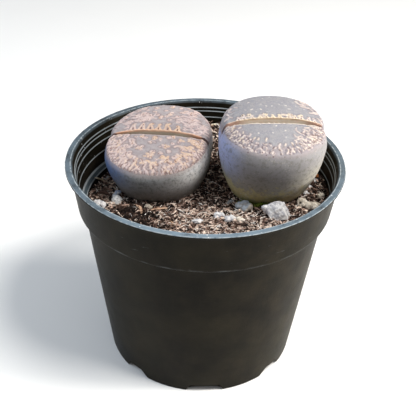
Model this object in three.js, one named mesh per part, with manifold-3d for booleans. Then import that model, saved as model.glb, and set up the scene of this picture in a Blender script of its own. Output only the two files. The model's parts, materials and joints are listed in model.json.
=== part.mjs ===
// Potted lithops: a black nursery pot filled with rough soil, holding two leaf pairs and loose grit.
// Millimetres, +Z up. The origin is on the pot's axis, level with the foot that it stands on.

import * as THREE from 'three';
import { ConvexGeometry } from 'three/addons/geometries/ConvexGeometry.js';
import { mergeVertices } from 'three/addons/utils/BufferGeometryUtils.js';
import Module from 'manifold-3d';

const wasm = await Module();
wasm.setup();

// Driving dimensions of the pot

const RIM_RADIUS = 50;
const RIM_HEIGHT = 80.3;
const RIM_FLAT_RADIUS = 47.8;
const LIP_DEPTH = 0.9;
const COLLAR_TOP_RADIUS = 48.5;
const COLLAR_FOOT_RADIUS = 46.4;
const COLLAR_FOOT_HEIGHT = 64.35;
const SHOULDER_DROP = 1.0;
const WALL_TOP_RADIUS = 44.3;
const FOOT_RADIUS = 36.15;
const COLLAR_WALL = 1.35;
const WALL = 1.15;
const FOOT_RING_WIDTH = 1.5;
const FLOOR_UNDERSIDE = 0.4;
const FLOOR_THICKNESS = 1.2;
const POT_SEGMENTS = 72;

// Fine moulded rings inside the collar, as depths below the rim
const RING_DEPTHS = [2.7, 4.2, 6.7, 10.8];
const RING_HEIGHT = 0.25;
const RING_WIDTH = 0.55;

// Drain slots cut through the corner of wall and floor, wide and narrow in turn, and drain holes
const NOTCH_COUNT = 8;
const FIRST_NOTCH_ANGLE = THREE.MathUtils.degToRad(-86);
const NOTCH_HEIGHT = 3.2;
const WIDE_NOTCH = { atFoot: 14, atTop: 10.8, rootRadius: 34.1 };
const NARROW_NOTCH = { atFoot: 11.2, atTop: 5.6, rootRadius: 33.7 };
const DRAIN_RADIUS = 2.8;
const DRAIN_CIRCLE_RADIUS = 28.5;
const CENTRE_DRAIN_RADIUS = 4;

// Clearance between pieces that touch
const GAP = 0.3;

// Driving dimensions of the soil
const SOIL_DEPTH_BELOW_RIM = 13.8;
const SOIL_GRID = 27;
const CRUMB_HEIGHT = 0.45;
const CHIP_COUNT = 48;

// Both leaf pairs stand on this level, before their own lean
const PLANT_LEVEL = RIM_HEIGHT - 14;

// Each leaf pair: the middle of its foot, its lean toward the front and the side, the turn of its
// fissure, its half width along the fissure, the reach of its near and far leaf, the height of its
// crown above the soil, how far the faces fall to their edge, the roll of the shoulder below that,
// and how much of its width is left where it enters the soil.
const LEFT_PLANT = {
  name: 'lithops_left',
  foot: [-16.3, 10.4],
  lean: 10.7,
  sideways: -3.8,
  turn: -6.8,
  halfWidth: 19.4,
  nearReach: 21.3,
  farReach: 21.3,
  crown: 20.4,
  faceDrop: 4.9,
  shoulder: 1.4,
  soilShare: 0.81,
  farSlide: 1.0,
  rootLength: 27,
  colour: '#8d8078',
};
const RIGHT_PLANT = {
  name: 'lithops_right',
  foot: [22.3, 4.1],
  lean: 15.1,
  sideways: 1.7,
  turn: 4.6,
  halfWidth: 18.9,
  nearReach: 16.9,
  farReach: 17.5,
  crown: 33.1,
  faceDrop: 5.7,
  shoulder: 3.2,
  soilShare: 0.65,
  farSlide: 0,
  rootLength: 27,
  colour: '#86868c',
};
const PLANT_SEGMENTS = 44;
const PLAN_POWER = 2 / 2.25;
const FISSURE_HALF_WIDTH = 0.95;
const FISSURE_END_HALF_WIDTH = 0.4;
const FISSURE_BELOW_EDGE = 0.9;
const FISSURE_PINCH = 0.05;
const PINCH_HALF_WIDTH = 0.12;
const PINCH_FADE = 9;

// The face of a leaf: its share of the plant's half width, its share of the fall to the edge, and how
// late it falls
const FACE_SHARE = 0.86;
const FACE_FALL = 0.55;
const FACE_POWER = 2.4;

// Loose mineral grit: place on the soil, length, depth and height, turn in degrees, seed, colour
const WHITE = '#d9d8d6';
const GREY = '#8f969c';
const BEIGE = '#c2b6a4';
const GRIT = [
  { name: 'pumice_grey', at: [14.2, -12.2], size: [6.6, 4.8, 4.6], turn: 10, seed: 5, colour: GREY },
  { name: 'pumice_beige', at: [37.0, -9.9], size: [8.8, 5.6, 4.8], turn: -28, seed: 8, colour: BEIGE },
  { name: 'pumice_left', at: [-31.7, -6.2], size: [4.3, 7.2, 4.6], turn: -16, seed: 21, colour: GREY },
  { name: 'pumice_rim', at: [-37.2, -10.8], size: [4.9, 3.6, 3.2], turn: -20, seed: 3, colour: WHITE },
  { name: 'perlite_front_a', at: [5.6, -17.1], size: [4.2, 3.4, 2.4], turn: 15, seed: 31, colour: WHITE },
  { name: 'perlite_front_b', at: [9.2, -18.9], size: [4.2, 3.4, 2.8], turn: -10, seed: 32, colour: WHITE },
  { name: 'perlite_front_c', at: [12.9, -19.2], size: [3.4, 3.0, 2.6], turn: 40, seed: 33, colour: BEIGE },
  { name: 'perlite_front_d', at: [-1.9, -20.8], size: [4.2, 2.0, 1.8], turn: 5, seed: 34, colour: WHITE },
  { name: 'grain_beige', at: [42.1, -3.9], size: [3.4, 2.6, 2.4], turn: 30, seed: 41, colour: BEIGE },
  { name: 'grain_right_a', at: [36.9, -2.6], size: [2.4, 2.2, 2.2], turn: 0, seed: 42, colour: WHITE },
  { name: 'grain_right_b', at: [38.9, 2.4], size: [2.1, 2.0, 1.9], turn: 20, seed: 43, colour: WHITE },
  { name: 'grain_right_c', at: [41.3, 6.6], size: [2.0, 2.6, 2.0], turn: -15, seed: 44, colour: WHITE },
  { name: 'grain_slate', at: [9.4, -8.6], size: [2.4, 2.1, 1.9], turn: 0, seed: 45, colour: GREY },
  { name: 'grain_left_a', at: [-25.7, -17.2], size: [1.9, 1.8, 1.7], turn: 0, seed: 46, colour: WHITE },
  { name: 'grain_left_b', at: [-37.9, 12.8], size: [2.0, 1.9, 1.7], turn: 0, seed: 47, colour: WHITE },
  { name: 'pebble_beige', at: [-19.8, -11.2], size: [3.0, 2.6, 2.3], turn: 12, seed: 48, colour: '#9a8c79' },
];

// The largest stone, a broken five-sided lump of white pumice, by its corners about its middle:
// the first five are its outline as seen from the front
const LARGE_STONE = {
  name: 'pumice_white',
  at: [25.8, -16.3],
  lift: 1.9,
  colour: WHITE,
  corners: [
    [-5.6, -0.5, 2.1], [-1.2, 2.0, 3.2], [2.1, 2.2, 2.8], [5.3, 0.3, -2.8], [-1.2, -2.6, -2.3],
    [0.8, -1.5, 2.6], [3.4, -2.4, -1.2], [-3.0, -1.8, 0.4], [1.0, -2.2, -2.2],
    [-3.0, 3.0, -0.5], [3.0, 3.2, 0], [3.6, 2.5, -3.0], [-2.5, 1.5, -3.2], [-4.9, 0.9, 0.2],
  ],
};

// Loose plant scraps: place, length and thickness, turn and dip in degrees, lift off the soil, bend,
// colour. The twig leans with its high end over the pot's ledge, and the others lie level.
const SCRAP_LIFT = 0.3;
const STRAW = '#b9a484';
const TAN = '#b08a6c';
const RUST = '#8a5643';
const ORANGE = '#9a6536';
const SCRAPS = [
  {
    name: 'twig_pale', at: [-40.2, 10.6], size: [4.9, 0.9], turn: 27, dip: 32, lift: 2.15, bend: 0.2,
    colour: STRAW,
  },
  { name: 'fibre_back', at: [3.5, 43.6], size: [5.0, 1.2], turn: 8, lift: 0.4, bend: 0.4, colour: STRAW },
  { name: 'chip_red_a', at: [-23.4, -12.6], size: [6.6, 1.4], turn: -62, bend: 0.8, colour: RUST },
  { name: 'chip_red_b', at: [-15.8, -13.0], size: [6.0, 1.3], turn: 14, bend: 0.6, colour: RUST },
  { name: 'chip_tan', at: [-11.4, -20.6], size: [6.4, 1.5], turn: -58, bend: 0.7, colour: TAN },
  { name: 'bark_orange', at: [41.9, 10.8], size: [4.0, 1.9], turn: 98, lift: 0.4, bend: 0.2, colour: ORANGE },
];

// Helpers

function seeded(seed) {
  let state = seed * 2654435761 >>> 0;
  return () => {
    state = (state + 0x6d2b79f5) >>> 0;
    let mixed = Math.imul(state ^ (state >>> 15), 1 | state);
    mixed = (mixed + Math.imul(mixed ^ (mixed >>> 7), 61 | mixed)) ^ mixed;
    return ((mixed ^ (mixed >>> 14)) >>> 0) / 4294967296;
  };
}

// A closed three.js geometry as a solid, with its shared vertices merged
function solidOf(geometry) {
  const bare = geometry.clone();
  bare.deleteAttribute('normal');
  bare.deleteAttribute('uv');
  const merged = mergeVertices(bare, 1e-4);
  const triangles = [];
  const index = merged.index.array;
  for (let i = 0; i < index.length; i += 3) {
    const [a, b, c] = [index[i], index[i + 1], index[i + 2]];
    if (a !== b && b !== c && c !== a) {
      triangles.push(a, b, c);
    }
  }
  return new wasm.Manifold(new wasm.Mesh({
    numProp: 3,
    vertProperties: Float32Array.from(merged.getAttribute('position').array),
    triVerts: Uint32Array.from(triangles),
  }));
}

function meshOf(name, solid, colour, roughness) {
  const data = solid.getMesh();
  const geometry = new THREE.BufferGeometry();
  geometry.setAttribute('position', new THREE.BufferAttribute(data.vertProperties, 3));
  geometry.setIndex(new THREE.BufferAttribute(data.triVerts, 1));
  geometry.computeVertexNormals();
  const material = new THREE.MeshStandardMaterial({ color: colour, roughness, metalness: 0 });
  const mesh = new THREE.Mesh(geometry, material);
  mesh.name = name;
  return mesh;
}

// The largest body of a cut solid: crumbs that a cut sets free are dropped
function mainBody(solid) {
  const bodies = solid.decompose();
  return bodies.reduce((most, body) => (body.volume() > most.volume() ? body : most));
}

// Turns a [radius, height] profile about the Z axis
function turned(profile, segments) {
  const points = profile.map(([radius, height]) => new THREE.Vector2(radius, height));
  return new THREE.LatheGeometry(points, segments).rotateX(Math.PI / 2);
}

function moveVertices(geometry, move) {
  const position = geometry.getAttribute('position');
  const point = new THREE.Vector3();
  for (let i = 0; i < position.count; i += 1) {
    point.fromBufferAttribute(position, i);
    move(point);
    position.setXYZ(i, point.x, point.y, point.z);
  }
  return geometry;
}

// Pot

const { mapLinear, smoothstep, clamp, degToRad } = THREE.MathUtils;
const FLOOR_TOP = FLOOR_UNDERSIDE + FLOOR_THICKNESS;
const WALL_TOP_HEIGHT = COLLAR_FOOT_HEIGHT - SHOULDER_DROP;

function wallRadius(height) {
  return mapLinear(height, 0, WALL_TOP_HEIGHT, FOOT_RADIUS, WALL_TOP_RADIUS);
}

function collarRadius(height) {
  return mapLinear(height, COLLAR_FOOT_HEIGHT, RIM_HEIGHT, COLLAR_FOOT_RADIUS, COLLAR_TOP_RADIUS);
}

const LEDGE_FOOT = [wallRadius(WALL_TOP_HEIGHT) - WALL, WALL_TOP_HEIGHT + 0.35];
const LEDGE_EDGE = [collarRadius(COLLAR_FOOT_HEIGHT) - COLLAR_WALL, COLLAR_FOOT_HEIGHT + 0.45];

function potProfile() {
  const bevel = 0.3;
  const outside = [
    [0, FLOOR_UNDERSIDE],
    [FOOT_RADIUS - FOOT_RING_WIDTH - 0.2, FLOOR_UNDERSIDE],
    [FOOT_RADIUS - FOOT_RING_WIDTH, 0],
    [FOOT_RADIUS - bevel, 0],
    [wallRadius(bevel), bevel],
    [wallRadius(WALL_TOP_HEIGHT), WALL_TOP_HEIGHT],
    [COLLAR_FOOT_RADIUS - bevel, COLLAR_FOOT_HEIGHT - 0.15],
    [collarRadius(COLLAR_FOOT_HEIGHT + bevel), COLLAR_FOOT_HEIGHT + bevel],
    [collarRadius(RIM_HEIGHT - LIP_DEPTH), RIM_HEIGHT - LIP_DEPTH - bevel],
    [RIM_RADIUS - bevel, RIM_HEIGHT - LIP_DEPTH],
    [RIM_RADIUS, RIM_HEIGHT - LIP_DEPTH / 2],
    [RIM_RADIUS - bevel, RIM_HEIGHT],
    [RIM_FLAT_RADIUS, RIM_HEIGHT],
    [collarRadius(RIM_HEIGHT) - COLLAR_WALL, RIM_HEIGHT - 0.7],
  ];
  const rings = RING_DEPTHS.flatMap((depth) => {
    const height = RIM_HEIGHT - depth;
    const inner = (level) => collarRadius(level) - COLLAR_WALL;
    return [
      [inner(height + 0.1), height + 0.1],
      [inner(height) - RING_HEIGHT, height - 0.05],
      [inner(height - RING_WIDTH), height - RING_WIDTH],
    ];
  });
  const inside = [
    LEDGE_EDGE,
    LEDGE_FOOT,
    [wallRadius(FLOOR_TOP + 1) - WALL, FLOOR_TOP + 1],
    [wallRadius(FLOOR_TOP) - WALL - 1, FLOOR_TOP],
    [0, FLOOR_TOP],
  ];
  return [...outside, ...rings, ...inside];
}

// A drain slot: flat-topped, from the floor's edge out through the wall, cut from below
function notchCutter(notch, angle) {
  const half = [notch.atFoot / 2, notch.atTop / 2];
  const flare = (half[0] - half[1]) / NOTCH_HEIGHT;
  const outline = new THREE.Shape();
  outline.moveTo(-half[0] - flare, -1);
  outline.lineTo(half[0] + flare, -1);
  outline.lineTo(half[1], NOTCH_HEIGHT);
  outline.lineTo(-half[1], NOTCH_HEIGHT);
  outline.closePath();
  const reach = 8;
  const slot = new THREE.ExtrudeGeometry(outline, { depth: reach, bevelEnabled: false });
  slot.rotateX(Math.PI / 2);
  slot.translate(0, -notch.rootRadius, 0);
  slot.rotateZ(angle + Math.PI / 2);
  return solidOf(slot);
}

function drainCutter(radius, x, y) {
  const tall = FLOOR_THICKNESS + 2;
  const hole = new THREE.CylinderGeometry(radius, radius, tall, 20).rotateX(Math.PI / 2);
  hole.translate(x, y, FLOOR_UNDERSIDE + FLOOR_THICKNESS / 2);
  return solidOf(hole);
}

function potSolid() {
  let pot = solidOf(turned(potProfile(), POT_SEGMENTS));
  pot = pot.subtract(drainCutter(CENTRE_DRAIN_RADIUS, 0, 0));
  for (let i = 0; i < NOTCH_COUNT; i += 1) {
    const angle = FIRST_NOTCH_ANGLE + (i * 2 * Math.PI) / NOTCH_COUNT;
    pot = pot.subtract(notchCutter(i % 2 === 0 ? WIDE_NOTCH : NARROW_NOTCH, angle));
    const x = DRAIN_CIRCLE_RADIUS * Math.cos(angle);
    const y = DRAIN_CIRCLE_RADIUS * Math.sin(angle);
    pot = pot.subtract(drainCutter(DRAIN_RADIUS, x, y));
  }
  return pot;
}

// Leaf pairs

const ROOT_PROFILE = [[0.74, 0.13], [0.5, 0.3], [0.24, 0.46], [0.12, 0.6], [0.075, 0.8], [0.04, 1]];

// Share of the plant's half width against height above the soil, from the crown to the root's tip
function plantProfile(plant) {
  const face = [0, 0.2, 0.4, 0.58, 0.74, FACE_SHARE].map((share) => (
    [share, plant.crown - FACE_FALL * plant.faceDrop * share ** FACE_POWER]
  ));
  const [, faceEdge] = face[face.length - 1];
  const widest = plant.crown - plant.faceDrop - plant.shoulder;
  const roll = [0.25, 0.5, 0.75, 1].map((part) => {
    const angle = (part * Math.PI) / 2;
    return [
      FACE_SHARE + (1 - FACE_SHARE) * Math.sin(angle),
      widest + (faceEdge - widest) * Math.cos(angle),
    ];
  });
  const side = [0.25, 0.5, 0.75, 1].map((part) => (
    [1 - (1 - plant.soilShare) * part ** 2, widest * (1 - part)]
  ));
  const root = ROOT_PROFILE.map(([share, depth]) => (
    [plant.soilShare * share, -plant.rootLength * depth]
  ));
  return [...face, ...roll, ...side, ...root, [0, -plant.rootLength - 0.8]];
}

// The plant's outer form before the fissure is cut, grown outward by the given amount
function plantForm(plant, grow) {
  const profile = plantProfile(plant).reverse();
  const form = turned(profile, PLANT_SEGMENTS);
  const edge = plant.crown - plant.faceDrop;
  return moveVertices(form, (point) => {
    const share = Math.hypot(point.x, point.y);
    if (share < 1e-6) {
      point.z += point.z < 0 ? -grow : grow;
      return;
    }
    const cosine = point.x / share;
    const sine = point.y / share;
    const along = Math.sign(cosine) * Math.abs(cosine) ** PLAN_POWER;
    const across = Math.sign(sine) * Math.abs(sine) ** PLAN_POWER;
    const nearFissure = Math.exp(-((across / PINCH_HALF_WIDTH) ** 2));
    const above = smoothstep(point.z, edge - PINCH_FADE, edge);
    const pinch = 1 - FISSURE_PINCH * nearFissure * above;
    const reach = across < 0 ? plant.nearReach : plant.farReach;
    const slide = plant.farSlide * clamp(across * share, -1, 1) * above;
    point.x = along * (plant.halfWidth * share * pinch + grow) + slide;
    point.y = across * (reach * share + grow);
  });
}

// The fissure between the two leaves: a lens in plan, open at the top and at both ends
function fissureCutter(plant) {
  const end = plant.halfWidth + 2;
  const lens = new THREE.Shape();
  lens.moveTo(-end, -FISSURE_END_HALF_WIDTH);
  lens.quadraticCurveTo(0, -2 * FISSURE_HALF_WIDTH + FISSURE_END_HALF_WIDTH, end, -FISSURE_END_HALF_WIDTH);
  lens.lineTo(end, FISSURE_END_HALF_WIDTH);
  lens.quadraticCurveTo(0, 2 * FISSURE_HALF_WIDTH - FISSURE_END_HALF_WIDTH, -end, FISSURE_END_HALF_WIDTH);
  lens.closePath();
  const bottom = plant.crown - plant.faceDrop - FISSURE_BELOW_EDGE;
  const depth = plant.crown - bottom + 2;
  const cutter = new THREE.ExtrudeGeometry(lens, { depth, bevelEnabled: false, curveSegments: 6 });
  return solidOf(cutter.translate(0, 0, bottom));
}

function placePlant(object, plant) {
  object.position.set(plant.foot[0], plant.foot[1], PLANT_LEVEL);
  const [lean, side, turn] = [plant.lean, plant.sideways, plant.turn].map(degToRad);
  object.rotation.set(lean, side, turn, 'YXZ');
  object.updateMatrix();
  return object;
}

function plantMesh(plant) {
  const solid = solidOf(plantForm(plant, 0)).subtract(fissureCutter(plant));
  return placePlant(meshOf(plant.name, mainBody(solid), plant.colour, 0.55), plant);
}

// The hole that the plant stands in
function plantHole(plant) {
  const place = placePlant(new THREE.Object3D(), plant);
  return solidOf(plantForm(plant, GAP + 0.05).applyMatrix4(place.matrix));
}

// Soil

// Height of the soil's surface without its crumbs: it dips behind the left plant, climbs behind
// and between the two, and is a little higher on the right.
function soilLevel(x, y) {
  const lean = (1.2 * x + 1.8 * y) / 44;
  const bank = 2.9 * Math.exp(-((x - 2) ** 2 + (y - 42) ** 2) / 288);
  const dip = 4.5 * Math.exp(-((x + 40) ** 2 + (y - 16) ** 2) / 392);
  return RIM_HEIGHT - SOIL_DEPTH_BELOW_RIM + lean + bank - dip;
}

// Crumbs of the surface: a few sine waves that cross at odd angles
function crumbs(x, y) {
  const coarse = Math.sin(0.71 * x + 0.33 * y + 1.1) * Math.sin(0.29 * x - 0.83 * y + 0.4);
  const fine = Math.sin(0.97 * x - 0.62 * y) * Math.sin(0.58 * x + 1.04 * y + 2.0);
  return CRUMB_HEIGHT * (coarse + fine);
}

function soilTop(x, y) {
  return soilLevel(x, y) + crumbs(x, y);
}

function soilSlab() {
  const across = 2 * COLLAR_FOOT_RADIUS + 2;
  const slab = new THREE.BoxGeometry(across, across, 1, SOIL_GRID, SOIL_GRID, 1);
  return solidOf(moveVertices(slab, (point) => {
    point.z = point.z > 0 ? soilTop(point.x, point.y) : 0;
  }));
}

// The room inside the pot, less the clearance
function potRoom() {
  const high = RIM_HEIGHT - 1;
  const clearOfRings = COLLAR_WALL + RING_HEIGHT + GAP;
  return solidOf(turned([
    [0, FLOOR_TOP + GAP],
    [wallRadius(FLOOR_TOP) - WALL - 1 - GAP, FLOOR_TOP + GAP],
    [wallRadius(FLOOR_TOP + 1) - WALL - GAP, FLOOR_TOP + 1 + GAP],
    [LEDGE_FOOT[0] - GAP, LEDGE_FOOT[1] + 0.15],
    [LEDGE_EDGE[0] - GAP, LEDGE_EDGE[1] + 0.4],
    [collarRadius(high) - clearOfRings, high],
    [0, high],
  ], POT_SEGMENTS));
}

// Coarse chips of coir half sunk in the surface, which grow out of the soil's own body
function soilChips() {
  const random = seeded(7);
  const chips = [];
  while (chips.length < CHIP_COUNT) {
    const radius = 42 * Math.sqrt(random());
    const angle = 2 * Math.PI * random();
    const long = 2.4 + 3.2 * random();
    const thick = 0.8 + 0.7 * random();
    const chip = new THREE.BoxGeometry(long, thick * 1.4, thick * 2);
    chip.rotateX((random() - 0.5) * 0.8);
    chip.rotateY((random() - 0.5) * 0.5);
    chip.rotateZ(Math.PI * random());
    const x = radius * Math.cos(angle);
    const y = radius * Math.sin(angle);
    chip.translate(x, y, soilTop(x, y) - 0.25 * thick);
    chips.push(solidOf(chip));
  }
  return wasm.Manifold.union(chips);
}

// Grit

// Corners move outward by more than the clearance, so that the flat faces between them keep it
const CORNER_GROWTH = 1.35;
const FEWEST_CORNERS = 13;
const GOLDEN_ANGLE = Math.PI * (3 - Math.sqrt(5));

// A stone's form: the hull of corners scattered over an ellipsoid, in an even spiral shaken by chance
function stoneForm(stone, grow) {
  const random = seeded(stone.seed);
  const count = FEWEST_CORNERS + Math.round(stone.size[0]);
  const corners = Array.from({ length: count }, (_, i) => {
    const height = 1 - (2 * i + 0.4 + 1.2 * random()) / count;
    const angle = i * GOLDEN_ANGLE + 0.7 * random();
    const level = Math.sqrt(1 - height * height);
    const reach = 0.88 + 0.14 * random();
    const direction = new THREE.Vector3(level * Math.cos(angle), level * Math.sin(angle), height);
    const [length, depth, tall] = stone.size.map((size) => (size / 2) * reach + grow * CORNER_GROWTH);
    return direction.multiply(new THREE.Vector3(length, depth, tall));
  });
  const form = new ConvexGeometry(corners).rotateZ(degToRad(stone.turn));
  const [x, y] = stone.at;
  return form.translate(x, y, soilTop(x, y) + stone.size[2] * 0.2);
}

function largeStoneForm(stone, grow) {
  const corners = stone.corners.map((corner) => {
    const point = new THREE.Vector3(...corner);
    return point.setLength(point.length() + grow * CORNER_GROWTH);
  });
  const [x, y] = stone.at;
  return new ConvexGeometry(corners).translate(x, y, soilTop(x, y) + stone.lift);
}

// Scraps

const SCRAP_TAPER = 0.45;
const SCRAP_FLATNESS = 0.8;

// A scrap's form: a bent, tapered splinter lying on the soil
function scrapForm(scrap, grow) {
  const [long, thick] = scrap.size;
  const form = new THREE.CylinderGeometry(0.5, 0.5, 1, 6, 4).rotateZ(Math.PI / 2);
  moveVertices(form, (point) => {
    const along = point.x * 2;
    const taper = 1 - SCRAP_TAPER * along ** 4;
    point.x = along * (long / 2 + grow);
    point.y = point.y * (thick * taper + 2 * grow) + scrap.bend * (1 - along ** 2);
    point.z = point.z * (thick * SCRAP_FLATNESS * taper + 2 * grow);
  });
  form.rotateY(degToRad(scrap.dip ?? 0));
  form.rotateZ(degToRad(scrap.turn));
  const [x, y] = scrap.at;
  return form.translate(x, y, soilTop(x, y) + (scrap.lift ?? SCRAP_LIFT));
}

// Assembly

const plants = [LEFT_PLANT, RIGHT_PLANT];
const looseForms = [
  { piece: LARGE_STONE, form: (grow) => largeStoneForm(LARGE_STONE, grow), roughness: 0.9 },
  ...GRIT.map((stone) => ({ piece: stone, form: (grow) => stoneForm(stone, grow), roughness: 0.9 })),
  ...SCRAPS.map((scrap) => ({ piece: scrap, form: (grow) => scrapForm(scrap, grow), roughness: 0.85 })),
];

let soil = soilSlab().add(soilChips()).intersect(potRoom());
const hollows = [
  ...plants.map(plantHole),
  ...looseForms.map(({ form }) => solidOf(form(GAP + 0.05))),
];
soil = mainBody(soil.subtract(wasm.Manifold.union(hollows)));

const pottedLithops = new THREE.Group();
pottedLithops.name = 'potted_lithops';
pottedLithops.add(meshOf('pot', potSolid(), '#2b2c2a', 0.6));
pottedLithops.add(meshOf('soil', soil, '#3a2a22', 0.95));
for (const plant of plants) {
  pottedLithops.add(plantMesh(plant));
}
for (const { piece, form, roughness } of looseForms) {
  pottedLithops.add(meshOf(piece.name, solidOf(form(0)), piece.colour, roughness));
}

export default pottedLithops;
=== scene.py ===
"""Potted lithops: the finish of a black nursery pot that holds two leaf pairs in rough peat and grit."""
import json
import math
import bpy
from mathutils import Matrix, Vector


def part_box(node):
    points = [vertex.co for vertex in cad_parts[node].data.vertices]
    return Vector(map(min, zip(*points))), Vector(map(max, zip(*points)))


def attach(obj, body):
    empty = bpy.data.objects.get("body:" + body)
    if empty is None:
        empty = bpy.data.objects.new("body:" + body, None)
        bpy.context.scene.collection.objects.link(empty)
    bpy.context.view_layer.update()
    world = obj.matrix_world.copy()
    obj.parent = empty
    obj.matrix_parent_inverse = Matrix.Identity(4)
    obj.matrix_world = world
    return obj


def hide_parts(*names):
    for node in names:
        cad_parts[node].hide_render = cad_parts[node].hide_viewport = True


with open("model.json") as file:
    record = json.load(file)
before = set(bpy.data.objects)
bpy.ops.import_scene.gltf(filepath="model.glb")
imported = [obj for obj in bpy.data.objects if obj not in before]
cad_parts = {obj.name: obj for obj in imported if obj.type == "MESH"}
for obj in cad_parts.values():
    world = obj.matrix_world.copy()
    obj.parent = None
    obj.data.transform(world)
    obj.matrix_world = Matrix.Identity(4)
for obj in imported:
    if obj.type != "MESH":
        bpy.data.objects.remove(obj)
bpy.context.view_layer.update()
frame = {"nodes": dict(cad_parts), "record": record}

from types import SimpleNamespace

import bpy
import numpy as np
from mathutils import Matrix, Vector, kdtree, noise

bl_info = {
    "name": "Potted lithops",
    "version": (1, 0, 0),
    "blender": (4, 5, 0),
    "location": "View3D > Sidebar > Lithops",
    "description": "Builds the pot, the soil, the leaf pairs, the grit and the stage, piece by piece",
    "category": "Object",
}

MM = 0.001

# Sizes of the pot in millimetres, as its solid has them
RIM_RADIUS = 50.0
RIM_HEIGHT = 80.3
RIM_FLAT_RADIUS = 47.8
LIP_DEPTH = 0.9
COLLAR_TOP_RADIUS = 48.5
COLLAR_FOOT_RADIUS = 46.4
COLLAR_FOOT_HEIGHT = 64.35
WALL_TOP_HEIGHT = 63.35
WALL_TOP_RADIUS = 44.3
FOOT_RADIUS = 36.15
COLLAR_WALL = 1.35
WALL = 1.15
FOOT_RING_WIDTH = 1.5
FLOOR_UNDERSIDE = 0.4
FLOOR_TOP = 1.6
RING_DEPTHS = (2.7, 4.2, 6.7, 10.8)
RING_HEIGHT = 0.25
RING_WIDTH = 0.55
NOTCH_COUNT = 8
FIRST_NOTCH_ANGLE = math.radians(-86)
NOTCH_HEIGHT = 3.2
WIDE_NOTCH = {"at_foot": 14.0, "at_top": 10.8, "root_radius": 34.1}
NARROW_NOTCH = {"at_foot": 11.2, "at_top": 5.6, "root_radius": 33.7}
DRAIN_RADIUS = 2.8
DRAIN_CIRCLE_RADIUS = 28.5
CENTRE_DRAIN_RADIUS = 4.0
SHARP_ANGLE = math.radians(38)
# How far the slot cutters reach outward, how round the outline's corners are, and its longest step
NOTCH_REACH = 8
EDGE_ROUNDING = 0.22
PROFILE_STEP = 3.4
CLEARANCE = 0.3
SOIL_DEPTH_BELOW_RIM = 13.8
# How near a loose bit may lie to a scrap in millimetres, to a plant's outline as a share of it, and to a
# stone's middle as the square of a share of its width
SCRAP_ROOM = 0.6
PLANT_ROOM = 0.99
STONE_ROOM = 0.2

# Each leaf pair in millimetres and degrees, as its solid has it, and below that what its skin needs. The
# borders are where the marked faces end: millimetres along the skin from the crown, for each lobe, and how
# much further they reach at the ends. The border depths are how far in from there the skin is pale: at the
# near lobe's front and its ends, then the far lobe's. Spans are shares of the half width and rises shares
# of the side's height, each from where a tint starts to where it is full.
PLANT_LEVEL = RIM_HEIGHT - 14
LEFT_PAIR = SimpleNamespace(
    node="lithops_left", foot=(-16.3, 10.4), lean=10.7, sideways=-3.8, turn=-6.8,
    half_width=19.4, near_reach=21.3, far_reach=21.3, crown=20.4, face_drop=4.9,
    shoulder=1.4, soil_share=0.81, far_slide=1.0, root_length=27.0,
    near_border=19.2, far_border=20.6, border_flare=0.3, border_depths=(5.6, 8.0, 1.2, 2.5),
    warm_share=0.8, painted_light_rise=(0.5, 0.9), painted_light_span=(0.3, 0.85), painted_shade_span=(-0.2, -0.8),
    foot_dirt_and_painted_light_rise=(0.26, 0.1),
)
RIGHT_PAIR = SimpleNamespace(
    node="lithops_right", foot=(22.3, 4.1), lean=15.1, sideways=1.7, turn=4.6,
    half_width=18.9, near_reach=16.9, far_reach=17.5, crown=33.1, face_drop=5.7,
    shoulder=3.2, soil_share=0.65, far_slide=0.0, root_length=27.0,
    near_border=17.1, far_border=20.0, border_flare=1.4, border_depths=(4.2, 6.4, 0.3, 2.8),
    warm_share=0.86, painted_light_rise=(1.0, 0.6), painted_light_span=(0.1, 0.75), painted_shade_span=(-0.5, -1.0),
    foot_dirt_and_painted_light_rise=(0.52, 0.34),
)
PLAN_POWER = 2 / 2.25
OUTLINE_POWER = 2 / PLAN_POWER
FACE_SHARE = 0.86
FACE_FALL = 0.55
FACE_POWER = 2.4
ROOT_PROFILE = ((0.74, 0.13), (0.5, 0.3), (0.24, 0.46), (0.12, 0.6), (0.075, 0.8), (0.04, 1.0))
PAIR_SEGMENTS = 200
SKIN_VOXEL = 0.28
# Below this height about the soil, in millimetres, the skin keeps only a share of its faces
HIDDEN_BELOW = -3.0
HIDDEN_SHARE = 0.8

FISSURE_HALF_WIDTH = 0.95
FISSURE_END_HALF_WIDTH = 0.15
FISSURE_BELOW_EDGE = 0.9
FISSURE_OVERRUN = 2.0
FISSURE_NARROW = 0.8
FISSURE_FLARE = 0.45
FISSURE_PINCH = 0.05
PINCH_HALF_WIDTH = 0.12
PINCH_FADE = 9.0

# The marks on the skin. Each clump is its place on the left pair's skin, laid flat, and its width.
NEAR = False
FAR = True
STROKE_STEP = 0.15
NEAR_CLUMPS = (
    (-8.0, -6.0, 3.4), (-5.4, -9.0, 3.2), (-1.0, -12.0, 4.4), (-2.6, -15.6, 3.0), (1.6, -16.4, 3.4),
    (4.6, -13.6, 4.6), (7.4, -15.4, 3.0), (9.6, -11.6, 3.6), (13.2, -11.2, 3.2), (4.5, -7.4, 3.0),
    (9.0, -3.6, 2.6), (-0.5, -3.2, 2.8), (-5.0, -2.6, 2.4), (6.0, -2.2, 1.8), (15.1, -3.6, 3.4),
    (14.1, -8.4, 2.8), (16.9, -6.0, 2.6), (-10.8, -9.4, 2.6), (-11.8, -3.2, 2.2), (-5.6, -14.6, 2.6),
)
FAR_CLUMPS = (
    (-7.5, 12.0, 3.6), (-9.8, 10.6, 2.6), (-5.0, 10.6, 2.2), (-3.5, 16.2, 3.2), (-0.6, 9.2, 2.4),
    (2.5, 11.5, 1.6), (2.5, 17.4, 2.4), (7.0, 14.0, 2.4), (10.6, 14.0, 3.0), (-12.2, 6.4, 2.6),
    (-13.6, 10.2, 2.4), (11.6, 9.0, 2.6),
)
ARCH_PLACES = (-9.6, -6.5, -3.2, -0.2, 3.2, 6.8)
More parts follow.
